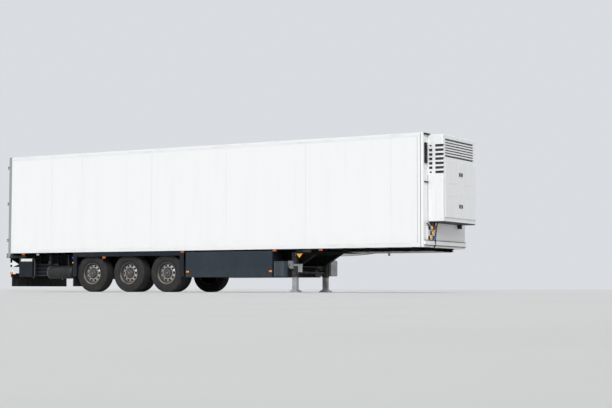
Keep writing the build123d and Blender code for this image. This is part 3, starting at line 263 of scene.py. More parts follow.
brushedSteel = surface(
    "brushedSteel", colour=(0.5, 0.51, 0.52), roughness=0.36, metallic=0.85,
    layers=[layer((0.36, 0.36, 0.36), 0.5, 3, 0.7, (0.4, 0.75), metallic=0.7, stretch=(4, 4, 0.3)),
            layer(roadDust, 0.85, 7, 0.6, (0.4, 0.8), metallic=0.1, height=(1.7, 0.9))],
    bumps=[(120, 0.15, 0.0006, (1, 1, 0.04))])
floorAlloy = surface(
    "floorAlloy", colour=(0.55, 0.56, 0.57), roughness=0.4, metallic=0.85,
    layers=[layer((0.3, 0.29, 0.28), 0.6, 4, 0.8, (0.4, 0.75), metallic=0.5, stretch=(0.3, 2, 1))],
    bumps=[(60, 0.3, 0.001, (0.05, 1, 1))])
hubSteel = surface(
    "hubSteel", colour=(0.36, 0.35, 0.34), roughness=0.42, metallic=0.6,
    layers=[layer((0.07, 0.045, 0.035), 0.85, 40, 0.75, (0.4, 0.7), metallic=0.1)], bumps=[(160, 0.2, 0.0005)])
wheelSilverAndPaintedShading = surface(
    "wheelSilverAndPaintedShading", colour=(0.5, 0.5, 0.49), roughness=0.34, metallic=0.55, coat=0.2,
    layers=[
        # Grime on the hub, rust round its cap, painted shade on the barrel ring between disc and lip, and painted shade
        # with grime round the hand holes
        layer((0.01, 0.009, 0.009), 0.9, 18, 0.94, (0.1, 0.45), metallic=0.0, radius=(0.16, 0.148)),
        layer((0.13, 0.085, 0.075), 0.7, 30, 0.8, (0.3, 0.7), metallic=0.1, radius=(0.09, 0.06)),
        layer((0.012, 0.012, 0.013), 0.85, 9, 0.96, everywhere, metallic=0.0, radius=(0.242, 0.249),
              within=(0.29, 0.286)),
        layer((0.006, 0.006, 0.006), 0.9, 9, 0.97, everywhere, metallic=0.0, hole=(0.037, 0.031)),
        # Dust on the lip, tan dust with painted light low on the barrel by the lip, and painted shade on all that lies
        # behind the disc
        layer((0.05, 0.047, 0.045), 0.85, 14, 0.8, (0.1, 0.5), metallic=0.1, radius=(0.284, 0.29)),
        layer((0.4, 0.3, 0.22), 0.85, 5, 0.9, (0.2, 0.5), metallic=0.1, radius=(0.28, 0.287), height=(0.6, 0.42)),
        layer((0.008, 0.008, 0.008), 0.9, 9, levels=everywhere, metallic=0.0, behind=(1.1125, 1.108)),
    ],
    bumps=[(80, 0.15, 0.0008)])
tyreRubber = surface(
    "tyreRubber", colour=(0.016, 0.016, 0.017), roughness=0.75, specular=0.35,
    layers=[layer((0.041, 0.039, 0.039), 0.9, 7, 0.75, (0.25, 0.75), radius=(0.3, 0.42)),
            layer((0.07, 0.062, 0.056), 0.95, 16, 0.5, (0.4, 0.8), radius=(0.44, 0.53)),
            layer((0.26, 0.2, 0.15), 0.95, 5, 0.7, (0.2, 0.5), radius=(0.326, 0.31), height=(0.55, 0.38))],
    bumps=[(150, 0.2, 0.0008)])
blackRubber = surface(
    "blackRubber", colour=(0.01, 0.01, 0.011), roughness=0.7, specular=0.3,
    layers=[layer((0.055, 0.047, 0.041), 0.9, 5, 0.7, (0.35, 0.75), stretch=(2, 2, 0.6), height=(1.2, 0.1))],
    bumps=[(110, 0.2, 0.0008)])
bufferRubber = surface(
    "bufferRubber", colour=(0.25, 0.26, 0.26), roughness=0.7, specular=0.3,
    layers=[layer((0.1, 0.1, 0.1), 0.9, 12, 0.7, (0.4, 0.7))], bumps=[(110, 0.2, 0.0008)])
blackPlastic = surface(
    "blackPlastic", colour=(0.01, 0.01, 0.011), roughness=0.55, specular=0.35,
    layers=[layer((0.05, 0.047, 0.044), 0.8, 12, 0.5)], bumps=[(300, 0.15, 0.0005)])
darkMachine = surface(
    "darkMachine", colour=(0.03, 0.031, 0.033), roughness=0.5, metallic=0.3,
    layers=[layer((0.1, 0.09, 0.08), 0.8, 9, 0.7, (0.4, 0.75), metallic=0.0)], bumps=[(70, 0.35, 0.0015)])
redLens = surface(
    "redLens", colour=(0.36, 0.008, 0.006), roughness=0.18, coat=0.6,
    layers=[layer((0.16, 0.02, 0.015), 0.5, 9, 0.5)], bumps=[(90, 0.3, 0.001, (1, 1, 0.1))])
amberLens = surface(
    "amberLens", colour=(0.9, 0.3, 0.008), roughness=0.2, coat=0.6,
    layers=[layer((0.6, 0.18, 0.02), 0.5, 9, 0.4)], bumps=[(70, 0.4, 0.001, (1, 0.1, 0.1))])
dullAmber = surface(
    "dullAmber", colour=(0.42, 0.1, 0.012), roughness=0.3, coat=0.3,
    layers=[layer((0.14, 0.05, 0.02), 0.6, 14, 0.6)], bumps=[(70, 0.4, 0.001, (1, 0.1, 0.1))])
clearLens = surface(
    "clearLens", colour=(0.75, 0.76, 0.76), roughness=0.2, coat=0.5,
    layers=[layer((0.45, 0.44, 0.42), None, 9, 0.5)], bumps=[(120, 0.4, 0.001, (1, 0.1, 1))])
print("finishes made")

# Which finish each piece of the frame gets, by its material slot in the record
slotFinish = {
    "white_body": whitePaint, "edge_profile": whiteProfile, "floor": floorAlloy, "steel_frame": brushedSteel,
    "door_gear": galvanised, "chassis": chassisPaint, "slate": slatePaint, "bare_steel": bareSteel,
    "galvanised": galvanised, "wheel": wheelSilverAndPaintedShading, "tyre": tyreRubber, "rubber": blackRubber,
    "lamp_red": redLens, "lamp_amber": amberLens, "unit_shell": shellPlastic, "machinery": darkMachine,
    "black_plastic": blackPlastic,
}
# Pieces of one slot that stand in another light or wear: their own finish, some of it painted shade (slatePaintedShade,
# rackSteelAndPaintedShade)
ownFinish = {
    "roof": roofPaint, "buffers": bufferRubber, "front_box": boxPaint, "landing_legs": legPaint,
    "pallet_box": slatePaintedShade, "mudguards": slatePaintedShade, "tool_box": slatePaintedShade, "tool_box_lid": slatePaintedShade,
    "slat_rack": rackSteelAndPaintedShade, "air_tanks": tankPaint, "side_markers": dullAmber,
}
slotOfNode = {part["node"]: part["material_slot"] for part in frame["record"]["subparts"]}
for name, node in nodes.items():
    node.data.materials.clear()
    node.data.materials.append(ownFinish.get(name, slotFinish[slotOfNode[name]]))
print("frame dressed")


# Small tools for meshes
def addBox(mesh, low, high, bevel=0.0, segments=1):
    corners = [sorted(pair) for pair in zip(low, high)]
    middle = Vector([(a + b) / 2 for a, b in corners])
    size = [b - a for a, b in corners]
    made = bmesh.ops.create_cube(mesh, size=1.0, matrix=Matrix.Translation(middle) @ Matrix.Diagonal((*size, 1)))
    if bevel:
        edges = list({edge for vert in made["verts"] for edge in vert.link_edges})
        bmesh.ops.bevel(mesh, geom=edges, offset=bevel, affect="EDGES", segments=segments, profile=0.5, material=-1)


def addRod(mesh, start, end, radius, segments=16, tip=None):
    start, end = Vector(start), Vector(end)
    turn = (end - start).to_track_quat("Z", "Y").to_matrix().to_4x4()
    bmesh.ops.create_cone(mesh, cap_ends=True, segments=segments, radius1=radius,
                          radius2=radius if tip is None else tip, depth=(end - start).length,
                          matrix=Matrix.Translation((start + end) / 2) @ turn)


def addStub(mesh, base, reach, radius, segments=16, tip=None):
    # A rod from its base, as long as its reach
    addRod(mesh, base, Vector(base) + Vector(reach), radius, segments, tip)


def addStubs(mesh, alongs, acrosses, heights, reach, radius, segments=16, tip=None):
    # The same stub at every place of a grid
    grid = [place if isinstance(place, (list, tuple)) else [place] for place in (alongs, acrosses, heights)]
    for base in product(*grid):
        addStub(mesh, base, reach, radius, segments, tip)


def addSpun(mesh, profile, centre, axis, steps=48):
    # A closed profile of (radius, distance along the axis) turned about the axis through the centre
    axis = Vector(axis)
    out = Vector((1, 0, 0)) if abs(axis.x) < 0.5 else Vector((0, 0, 1))
    verts = [mesh.verts.new(Vector(centre) + out * radius + axis * along) for radius, along in profile]
    edges = [mesh.edges.new(pair) for pair in zip(verts, verts[1:] + verts[:1])]
    bmesh.ops.spin(mesh, geom=verts + edges, cent=centre, axis=axis, angle=math.tau, steps=steps, use_merge=True)
    bmesh.ops.remove_doubles(mesh, verts=mesh.verts, dist=0.00002)


def addRing(mesh, inner, outer, near, far, centre, axis, steps=48):
    addSpun(mesh, ((inner, near), (outer, near), (outer, far), (inner, far)), centre, axis, steps)


def addPlate(mesh, outline, thickness):
    # A flat outline given a thickness along its own normal
    face = mesh.faces.new([mesh.verts.new(point) for point in outline])
    face.normal_update()
    made = bmesh.ops.extrude_face_region(mesh, geom=[face])
    moved = [item for item in made["geom"] if isinstance(item, bmesh.types.BMVert)]
    bmesh.ops.translate(mesh, verts=moved, vec=face.normal * thickness)


def addPipe(mesh, points, radius, resolution=3):
    # A round bar bent along a few points, its corners rounded by the curve
    curve = bpy.data.curves.new("pipe", "CURVE")
    curve.dimensions = "3D"
    curve.bevel_depth = radius
    curve.bevel_resolution = resolution
    curve.use_fill_caps = True
    spline = curve.splines.new("NURBS")
    spline.points.add(len(points) - 1)
    for knot, point in zip(spline.points, points):
        knot.co = (*point, 1)
    spline.order_u = 3
    spline.use_endpoint_u = True
    spline.resolution_u = 4
    bar = bpy.data.objects.new("pipe", curve)
    mesh.from_mesh(bpy.data.meshes.new_from_object(bar))
    bpy.data.objects.remove(bar)
    bpy.data.curves.remove(curve)


def addPiece(mesh, name, finish, body="root", angle=35):
    bmesh.ops.recalc_face_normals(mesh, faces=mesh.faces)
    data = bpy.data.meshes.new(name)
    mesh.to_mesh(data)
    mesh.free()
    data.materials.append(finish)
    data.shade_smooth()
    data.set_sharp_from_angle(angle=math.radians(angle))
    piece = bpy.data.objects.new(name, data)
    bpy.context.scene.collection.objects.link(piece)
    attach(piece, body)
    return piece


def span(start, end, count):
    return [start + (end - start) * i / (count - 1) for i in range(count)]


def around(count, start=0.0):
    # Cosine and sine of turns spread evenly round a circle
    turns = [math.tau * (i + start) / count for i in range(count)]
    return [(math.cos(turn), math.sin(turn)) for turn in turns]


# Wheels: grooved tyres in place of the plain ones, dark rings of painted shade behind the discs, and the nuts, studs
# and hub bolts
wheel = {
    "grooves": (-0.1, -0.042, 0.042, 0.1), "grooveHalf": 0.007, "grooveDepth": 0.013, "treadRadius": 0.536,
    "shoulder": ((0.536, 0.143), (0.5345, 0.15), (0.529, 0.158), (0.52, 0.165), (0.505, 0.17), (0.499, 0.1735),
                 (0.497, 0.1775), (0.489, 0.1785), (0.486, 0.178)),
    "sidewall": ((0.46, 0.1858), (0.435, 0.1905), (0.41, 0.1922), (0.385, 0.1915), (0.362, 0.1875), (0.348, 0.183),
                 (0.344, 0.185), (0.338, 0.1835), (0.335, 0.178), (0.32, 0.171), (0.308, 0.162), (0.3015, 0.153),
                 (0.3005, 0.147), (0.2866, 0.146)),
    "steps": 90, "notchBand": (0.1465, 0.1615), "notchDepth": 0.005,
    "discFace": 0.106, "nutCircle": 0.1675, "nutCount": 10, "nutRadius": 0.0165, "nutHeight": 0.022,
    "hubBolts": 8, "hubBoltCircle": 0.11, "hubFace": 0.124, "capFace": 0.144,
    "shadeRing": (0.2055, 0.2395, 0.046, 0.05),
    "capRing": ((0.086, 0.132), (0.09, 0.132), (0.09, 0.138), (0.084, 0.138)),
}
for index in (1, 2, 3):
    for side, word in sides:
        label, turning = f"{index}{word.title()}", f"wheel_{index}_{word}"
        low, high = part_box(f"tyre_{index}_{word}")
        centre = (low + high) / 2
        outward = Vector((0, side, 0))
        tread = [(wheel["treadRadius"], -wheel["shoulder"][0][1])]
        for groove in wheel["grooves"]:
            for shift, drop in ((-1, 0), (-0.7, 1), (0.7, 1), (1, 0)):
                tread.append((wheel["treadRadius"] - drop * wheel["grooveDepth"],
                              groove + shift * wheel["grooveHalf"]))
        outer = list(wheel["shoulder"] + wheel["sidewall"])
        mesh = bmesh.new()
        addSpun(mesh, tread + outer + [(radius, -along) for radius, along in outer[:0:-1]], centre, outward,
                wheel["steps"])
        bmesh.ops.recalc_face_normals(mesh, faces=mesh.faces)
        notched = []
        for face in mesh.faces:  # every second face of the shoulder, counted from a place below zero
            spot = face.calc_center_median() - centre
            turn = math.atan2(spot.z, spot.x) / math.tau * wheel["steps"]
            if wheel["notchBand"][0] < abs(spot.y) < wheel["notchBand"][1] and int(turn + 200) % 2:
                notched.append(face)
        bmesh.ops.inset_individual(mesh, faces=notched, thickness=0.0015, depth=-wheel["notchDepth"])
        tyre = addPiece(mesh, f"treadTyre{label}", tyreRubber, turning, angle=28)
        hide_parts(f"tyre_{index}_{word}")

        # A dark ring between the drum and the rim's well, behind the disc: painted shade that keeps the hand holes dark
        mesh = bmesh.new()
        addRing(mesh, *wheel["shadeRing"], centre, outward)
        addPiece(mesh, f"paintedShadeRing{label}", chassisPaint, turning)

        mesh = bmesh.new()
        for cosine, sine in around(wheel["nutCount"], 0.5):
            base = centre + Vector((cosine, 0, sine)) * wheel["nutCircle"] + outward * wheel["discFace"]
            for height, radius, segments, tip in ((0.005, 1.25, 14, 1.25), (wheel["nutHeight"], 1, 6, 0.93),
                                                  (wheel["nutHeight"] + 0.01, 0.6, 8, 0.6)):
                addStub(mesh, base, outward * height, wheel["nutRadius"] * radius, segments, wheel["nutRadius"] * tip)
        for cosine, sine in around(wheel["hubBolts"]):
            base = centre + Vector((cosine, 0, sine)) * wheel["hubBoltCircle"] + outward * wheel["hubFace"]
            addStub(mesh, base, outward * 0.007, 0.007, 6)
        addSpun(mesh, wheel["capRing"], centre, outward, 32)
        addStub(mesh, centre + outward * wheel["capFace"], outward * 0.01, 0.022, 6)
        stem = centre + Vector((0.232, 0, 0.05))  # the tyre's valve
        addPipe(mesh, [stem + outward * 0.06, stem + outward * 0.1 - Vector((0.004, 0, 0.001)),
                       stem + outward * 0.135 - Vector((0.024, 0, 0.005))], 0.005, 2)
        addPiece(mesh, f"hubFittings{label}", hubSteel, turning)
print("wheels ready")

# Sealed seams, rivets and corner joints of the box
sealant = surface(
    "sealant", colour=(0.52, 0.53, 0.54), roughness=0.6,
    layers=[layer((0.3, 0.3, 0.3), None, 2.5, 0.5, stretch=(1, 1, 0.4)),
            layer((0.74, 0.75, 0.75), None, 9, 0.7, everywhere, height=(2.2, 1.5))])
darkJoint = surface(
    "darkJoint", colour=(0.05, 0.052, 0.055), roughness=0.6,
    layers=[layer((0.16, 0.16, 0.16), None, 3, 0.6, stretch=(1, 1, 0.3))])
body = {
    "seams": (-5.357, -4.217, -1.728, 0.763, 3.253, 5.743), "seamWidth": 0.004, "cornerSeam": 6.483,
    "cornerWidth": 0.006, "joint": 6.574, "jointWidth": 0.012, "proud": 0.0008,
    "rivets": 44, "rivetRadius": 0.0065, "rivetProud": 0.003, "rivetLow": 0.028, "rivetHigh": -0.08,
    "roofSeams": (-4.6, -2.1, 0.4, 2.9, 5.4), "roofLift": 0.0006,
}
wallLow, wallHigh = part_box("side_wall_left")[0].z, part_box("side_wall_left")[1].z
seamMesh = bmesh.new()
jointMesh = bmesh.new()
rivetMesh = bmesh.new()
for side in (-1, 1):
    lines = [(seamMesh, seam, body["seamWidth"], wallSide, wallLow, wallHigh) for seam in body["seams"]]
    lines += [(jointMesh, body["cornerSeam"], body["cornerWidth"], wallSide, wallLow, wallHigh),
              (jointMesh, body["joint"], body["jointWidth"], railSide, bodyLow, bodyHigh - 0.03)]
    for mesh, along, width, face, low, high in lines:
        addBox(mesh, (along - width / 2, side * face, low), (along + width / 2, side * (face + body["proud"]), high))
    addStubs(rivetMesh, span(doorFace + 0.25, frontFace - 0.25, body["rivets"]), side * railSide,
             (bodyLow + body["rivetLow"], bodyHigh + body["rivetHigh"]), (0, side * body["rivetProud"], 0),
             body["rivetRadius"], 8, body["rivetRadius"] * 0.5)
    addBox(seamMesh, (doorFace + 0.12, side * (railSide - 0.064), bodyHigh),
           (frontFace - 0.1, side * (railSide - 0.056), bodyHigh + body["roofLift"]))
for seam in body["roofSeams"]:
    addBox(seamMesh, (seam - 0.02, 0.07 - railSide, bodyHigh),
           (seam + 0.02, railSide - 0.07, bodyHigh + body["roofLift"]))
addPiece(seamMesh, "bodySeams", sealant)
addPiece(jointMesh, "cornerJoints", darkJoint)
addPiece(rivetMesh, "railRivets", whiteProfile)
print("body seams ready")

# Front of the box: black strips of painted shadow above and below the ledge and beside the unit, brackets, and the
# lines' couplings
front = {
    "ledge": (bodyLow + 0.045, bodyLow + 0.16), "ledgeReach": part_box("front_wall")[1].x, "ledgeHalf": 1.24,
    "line": 0.015, "edges": (1.01, 1.0135, 1.79, 2.96),
    "brackets": (((1.223, 2.752), (1.026, 2.784), 0.03), ((1.25, 3.952), (0.95, 3.99), 0.05)),
    "screwsAcross": (-1.06, -0.71), "screwHeights": (1.34, 1.68),
}
mesh = bmesh.new()
# Black strips of painted shadow above and below the ledge
for height in front["ledge"]:
    addBox(mesh, (frontFace, -front["ledgeHalf"], height),
           (front["ledgeReach"] + 0.001, front["ledgeHalf"], height + front["line"]))
for side in (-1, 1):
    for low, high, reach in front["brackets"]:
        addBox(mesh, (frontFace, side * low[0], low[1]), (frontFace + reach, side * high[0], high[1]), 0.002)
    # A black strip of painted shade in the gap beside the unit
    inner, outer, low, high = front["edges"]
    addBox(mesh, (frontFace, side * inner, low), (frontFace + 0.007, side * outer, high))
addPiece(mesh, "frontShadowStripsAndBrackets", blackPlastic)

# Each line's colour, and the same when it is worn
lineColours = {"yellow": ((0.8, 0.52, 0.16), (0.5, 0.33, 0.14)), "red": ((0.5, 0.03, 0.02), (0.2, 0.04, 0.03)),
               "blue": ((0.02, 0.1, 0.42), (0.03, 0.05, 0.12))}
lineFinish = {
    name: surface(f"{name}Cap", colour=new, roughness=0.4, layers=[layer(worn, None, 30, 0.5)])
    for name, (new, worn) in lineColours.items()
}
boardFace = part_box("coupling_board")[1].x
# Each coupling's cap: its place across, height, radius, how far out, and its colour
couplingCaps = (
    (-0.99, 1.615, 0.036, 0.094, "yellow"), (-0.79, 1.615, 0.036, 0.094, "red"),
    (-0.89, 1.49, 0.042, 0.074, "yellow"), (-0.99, 1.375, 0.042, 0.074, "yellow"),
    (-0.79, 1.375, 0.042, 0.074, "blue"))
for index, (across, height, radius, reach, colour) in enumerate(couplingCaps):
    mesh = bmesh.new()
    face = boardFace + reach - 0.006
    addStub(mesh, (face - 0.022, across, height), (0.032, 0, 0), radius, 24, radius * 0.9)
    addBox(mesh, (face - 0.03, across - 0.012, height + radius * 0.6),
           (face + 0.004, across + 0.012, height + radius + 0.012), 0.003)
    addPiece(mesh, f"couplingCap{index}", lineFinish[colour])
    mesh = bmesh.new()
    addStub(mesh, (boardFace, across, height), (0.008, 0, 0), radius * 1.3, 20)
    for turn in (0.8, 2.35, 3.95, 5.5):
        addStub(mesh, (boardFace, across + math.cos(turn) * radius * 1.12, height + math.sin(turn) * radius * 1.12),
                (0.013, 0, 0), 0.0045, 6)
    if radius < 0.04:  # the air couplings' side inlets
        addRod(mesh, (face - 0.03, across - 0.055, height - 0.01), (face - 0.03, across, height), 0.013, 12)
    addPiece(mesh, f"couplingFlange{index}", bareSteel)
mesh = bmesh.new()
addStubs(mesh, boardFace, front["screwsAcross"], front["screwHeights"], (0.006, 0, 0), 0.008, 6)
addPiece(mesh, "boardScrews", bareSteel)
print("front wall ready")

# Refrigeration unit: screens behind the slots, a tray and lines below, latches, fins and the machinery
unitLow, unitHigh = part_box("unit_housing")
unitHalf = unitHigh.y
unit = {
    "screenHeights": (2.93, 3.37, 3.76), "tray": 0.022, "hangers": (-0.82, 0.82), "drain": (0.09, -0.93),
    "lines": ((0.014, ((0.03, -1.14, 1.73), (0.05, -1.08, 1.7), (0.06, -1.0, 1.62), (0.05, -0.96, 1.58))),
              (0.016, ((0.12, -0.7, unitLow.z), (0.1, -0.7, 1.7), (0.05, -0.66, 1.5), (0.03, -0.65, 1.3),
                       (0.042, -0.65, 1.2), (-0.02, -0.65, 1.12)))),
    "fins": 150, "tubes": 12, "latchInset": 0.3, "ribInset": 0.55,
    "edgeScrews": (1.86, 2.3, 2.75, 3.9), "sideScrews": (1.85, 2.8, 3.86),
}
mesh = bmesh.new()
for side in (-1, 1):
    low, middle, high = unit["screenHeights"]
    addBox(mesh, (unitLow.x + 0.012, side * (unitHalf - 0.036), low),
           (unitLow.x + 0.385, side * (unitHalf - 0.033), high))
    addBox(mesh, (unitLow.x + 0.383, side * (unitHalf - 0.12), low),
           (unitLow.x + 0.386, side * (unitHalf - 0.034), middle))
addPiece(mesh, "unitScreens", darkMachine)
mesh = bmesh.new()
addBox(mesh, (unitLow.x, 0.03 - unitHalf, unitLow.z - unit["tray"]), (unitHigh.x - 0.03, unitHalf - 0.03, unitLow.z),
       0.004)
for across in unit["hangers"]:
    addBox(mesh, (unitLow.x, across - 0.04, unitLow.z - 0.12), (unitLow.x + 0.1, across + 0.04, unitLow.z - 0.02),
           0.004)
along, across = unit["drain"]
addStub(mesh, (unitLow.x + along, across, unitLow.z - 0.19), (0, 0, 0.17), 0.035, 20)
addPiece(mesh, "unitTray", blackPlastic)
mesh = bmesh.new()
for radius, route in unit["lines"]:
    addPipe(mesh, [(unitLow.x + along, across, height) for along, across, height in route], radius)
addPiece(mesh, "unitLines", blackRubber)

mesh = bmesh.new()
coilLow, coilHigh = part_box("unit_condenser")
for across in span(coilLow.y + 0.02, coilHigh.y - 0.02, unit["fins"]):
    addBox(mesh, (coilHigh.x, across - 0.001, coilLow.z + 0.015),
           (coilHigh.x + 0.006, across + 0.001, coilHigh.z - 0.015))
for height in span(coilLow.z + 0.03, coilHigh.z - 0.03, unit["tubes"]):
    addRod(mesh, (coilHigh.x + 0.002, coilLow.y + 0.005, height), (coilHigh.x + 0.002, coilHigh.y - 0.005, height),
           0.0045, 8)
addPiece(mesh, "coilFins", floorAlloy)

engineLow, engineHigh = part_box("unit_engine")
engine = {
    "injectors": (-0.3, -0.2, -0.1, 0.0), "pulleys": ((0.25, 0.2, 0.12), (-0.1, 0.16, 0.07)),
    "belt": ((0.25, 0.32, 3.4), (0.08, 0.27, 2.6), (-0.1, 0.23, 2)), "ribs": 19,
    "stacks": ((-0.32, 0.05, 0.18), (0.3, 0.09, 0.12)),
    "hoses": ((0.018, 0.7, ((0.12, 0.3, 0.1), (0.12, 0.32, 0.4), (0.16, 0.5, 0.6), (0.28, 0.68, 0.8))),
              (0.014, -0.6, ((0.1, -0.32, 0.15), (0.1, -0.33, 0.5), (0.15, -0.5, 0.75)))),
}
mesh = bmesh.new()
addStubs(mesh, engineHigh.x, engine["injectors"], engineHigh.z - 0.12, (0.02, 0, 0), 0.03)
for across, height, radius in engine["pulleys"]:
    addStub(mesh, (engineHigh.x, across, engineLow.z + height), (0.045, 0, 0), radius, 32)
for drop in (0, 0.07):
    route = [(across, engineLow.z + height - drop * share) for across, height, share in engine["belt"]]
    addPipe(mesh, [(engineHigh.x + 0.035, *point) for point in route], 0.006, 2)
for across, radius, top in engine["stacks"]:
    addStub(mesh, (engineLow.x + 0.12, across, engineHigh.z), (0, 0, top), radius, 28)
for across in span(-0.36, 0.36, engine["ribs"]):
    addBox(mesh, (engineHigh.x, across - 0.003, engineLow.z + 0.42),
           (engineHigh.x + 0.008, across + 0.003, engineHigh.z - 0.2))
for radius, end, route in engine["hoses"]:  # up to the coil's lower edge
    route = [(engineLow.x + along, across, engineHigh.z + up) for along, across, up in route]
    addPipe(mesh, route + [(coilHigh.x - 0.025, end, coilLow.z)], radius)
addPiece(mesh, "engineDetails", darkMachine)

for side, word in sides:
    doorLow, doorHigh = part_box(f"unit_door_{word}")
    mesh = bmesh.new()
    for height in (doorLow.z + unit["latchInset"], doorHigh.z - unit["latchInset"]):
        addBox(mesh, (doorHigh.x, side * 0.03, height - 0.05), (doorHigh.x + 0.006, side * 0.1, height + 0.05), 0.002)
        addBox(mesh, (doorHigh.x + 0.006, side * 0.045, height - 0.035),
               (doorHigh.x + 0.02, side * 0.085, height + 0.035), 0.006, 2)
    addPiece(mesh, f"unitLatches{word.title()}", blackPlastic, f"unit_door_{word}_body")
    mesh = bmesh.new()
    for height in (doorLow.z + unit["ribInset"], doorHigh.z - unit["ribInset"]):
        addBox(mesh, (doorHigh.x, side * 0.16, height - 0.012), (doorHigh.x + 0.003, side * 0.86, height + 0.012),
               0.002)
    addPiece(mesh, f"unitDoorRibs{word.title()}", shellPlastic, f"unit_door_{word}_body")
mesh = bmesh.new()
for side in (-1, 1):
    addStubs(mesh, unitHigh.x - 0.0285, side * 0.9702, unit["edgeScrews"], (0.0065, 0, 0), 0.008, 8)
    addStubs(mesh, (unitLow.x + 0.06, unitLow.x + 0.36), side * unitHalf, unit["sideScrews"], (0, side * 0.003, 0),
             0.008, 8, 0.005)
addPiece(mesh, "unitScrews", galvanised)
print("unit ready")

# Rear: gaskets and fittings on the doors, lenses on the lamps
rear = {
    "gasket": 0.012, "gasketProud": 0.003, "rods": (0.33, 0.93), "rodX": doorFace - 0.02,
    "guides": 5, "guideInset": 0.12, "plateHalf": (0.052, 0.032), "boltRadius": 0.007,
    "hinges": (1.53, 2.61, 3.69), "handles": ((0.71, 1.75), (0.55, 1.6)),
}
for side, word in sides:
    doorLow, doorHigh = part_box(f"door_{word}")
    inner, outer = sorted((abs(doorLow.y), abs(doorHigh.y)))
    wide, (halfWide, halfHigh) = rear["gasket"], rear["plateHalf"]
    mesh = bmesh.new()
    for low, high in (((inner, doorLow.z), (inner + wide, doorHigh.z)),
                      ((outer - wide, doorLow.z), (outer, doorHigh.z)),
                      ((inner + wide, doorLow.z), (outer - wide, doorLow.z + wide)),
                      ((inner + wide, doorHigh.z - wide), (outer - wide, doorHigh.z))):
        addBox(mesh, (doorLow.x - rear["gasketProud"], side * low[0], low[1]), (doorLow.x, side * high[0], high[1]))
    addPiece(mesh, f"doorGasket{word.title()}", blackRubber, f"door_{word}_body")
    mesh = bmesh.new()
    for rod in rear["rods"]:
        across = side * rod
        for height in span(doorLow.z + rear["guideInset"], doorHigh.z - rear["guideInset"], rear["guides"]):
            addBox(mesh, (doorLow.x - 0.004, across - halfWide, height - halfHigh),
                   (doorLow.x, across + halfWide, height + halfHigh), 0.001)
            addStubs(mesh, doorLow.x - 0.004, (across - 0.041, across + 0.041), height, (-0.006, 0, 0),
                     rear["boltRadius"], 6)
        addStubs(mesh, rear["rodX"], across, (doorLow.z - 0.044, doorHigh.z + 0.016), (0, 0, 0.028), 0.0145, 14)
    for height in rear["hinges"]:
        addStubs(mesh, doorLow.x - 0.008, [side * (outer - inset) for inset in (0.06, 0.15, 0.24)],
                 (height - 0.018, height + 0.018), (-0.005, 0, 0), rear["boltRadius"], 6)
        addStubs(mesh, doorFace - 0.062, side * 1.28, height - 0.036, (0, 0, 0.072), 0.0145, 18)
    addPiece(mesh, f"doorFittings{word.title()}", galvanised, f"door_{word}_body")
    mesh = bmesh.new()
    for across, height in rear["handles"]:
        addBox(mesh, (rear["rodX"] - 0.008, side * (across - 0.06), height - 0.002),
               (rear["rodX"] + 0.008, side * (across + 0.06), height + 0.032), 0.004, 2)
    addPiece(mesh, f"handleGrips{word.title()}", blackPlastic, f"door_{word}_body")
lampLow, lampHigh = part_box("rear_lamps")
# Each lens: how far out it starts and ends, its finish and its slot
rearLenses = {"amber": (1.075, 1.19, amberLens, "lamp_amber"), "red": (0.94, 1.065, redLens, "lamp_red"),
              "clear": (0.81, 0.93, clearLens, "lamp_red")}
for name, (low, high, finish, slot) in rearLenses.items():
    mesh = bmesh.new()
    for side in (-1, 1):
        addBox(mesh, (lampLow.x - 0.007, side * low, lampLow.z + 0.012), (lampLow.x, side * high, lampHigh.z - 0.012),
               0.004, 2)
    addPiece(mesh, f"{name}RearLenses", finish)
mesh = bmesh.new()
for side in (-1, 1):
    addBox(mesh, (lampLow.x - 0.003, side * 0.798, lampLow.z - 0.004), (lampHigh.x, side * 1.202, lampHigh.z + 0.004),
           0.003)
    addPipe(mesh, [(lampHigh.x + 0.008, side * 1.0, lampLow.z + 0.05), (lampHigh.x + 0.06, side * 0.9, lampLow.z),
                   (lampHigh.x + 0.1, side * 0.8, lampLow.z + 0.1),
                   (lampHigh.x + 0.12, side * 0.74, lampHigh.z + 0.1)], 0.008)
addPiece(mesh, "rearLampCases", blackPlastic)
print("rear ready")

# Side lamps: a dark seat round each marker, lenses on the pallet flaps and the bumper, and bolts below the box
markers = {
    "stations": (0.59, 6.34, 9.315, 10.717), "half": 0.062, "low": bodyLow - 0.067, "high": bodyLow - 0.001,
    "lowStation": 3.61, "lowHeights": (0.943, 1.009), "flapLens": (0.536, 0.584), "flapStarts": (0.025, -0.006),
    "bumperLens": ((-6.955, 1.2778, 0.523), (-6.867, 1.2808, 0.577)), "boxBolts": 9,
}
seatMesh = bmesh.new()
bumperMesh = bmesh.new()
boxBoltMesh = bmesh.new()
boxLow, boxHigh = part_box("pallet_box")
for side in (-1, 1):
    seats = [(spot, markers["low"], markers["high"]) for spot in markers["stations"]]
    for spot, low, high in seats + [(markers["lowStation"], *markers["lowHeights"])]:
        addBox(seatMesh, (doorFace + spot - markers["half"], side * (railSide - 0.009), low),
               (doorFace + spot + markers["half"], side * (railSide - 0.005), high), 0.001)
    low, high = markers["bumperLens"]
    addBox(bumperMesh, (low[0], side * low[1], low[2]), (high[0], side * high[1], high[2]), 0.001)
    addStubs(boxBoltMesh, span(boxLow.x + 0.03, boxHigh.x - 0.03, markers["boxBolts"]), side * 1.26, boxLow.z + 0.015,
             (0, side * 0.0035, 0), 0.006, 6)
addPiece(seatMesh, "markerSeats", blackRubber)
for side, word in sides:
    flapLow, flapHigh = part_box(f"pallet_flap_{word}")
    mesh = bmesh.new()
    low, high = markers["flapLens"]
    for near, way in ((flapLow.x + markers["flapStarts"][0], 1), (flapHigh.x + markers["flapStarts"][1], -1)):
        addBox(mesh, (near, side * 1.2925, low), (near + way * 0.09, side * 1.3008, high), 0.003, 2)
    addPiece(mesh, f"flapLenses{word.title()}", amberLens, f"pallet_flap_{word}_body")
addPiece(bumperMesh, "bumperLenses", amberLens)
addPiece(boxBoltMesh, "palletBoxBolts", galvanised)

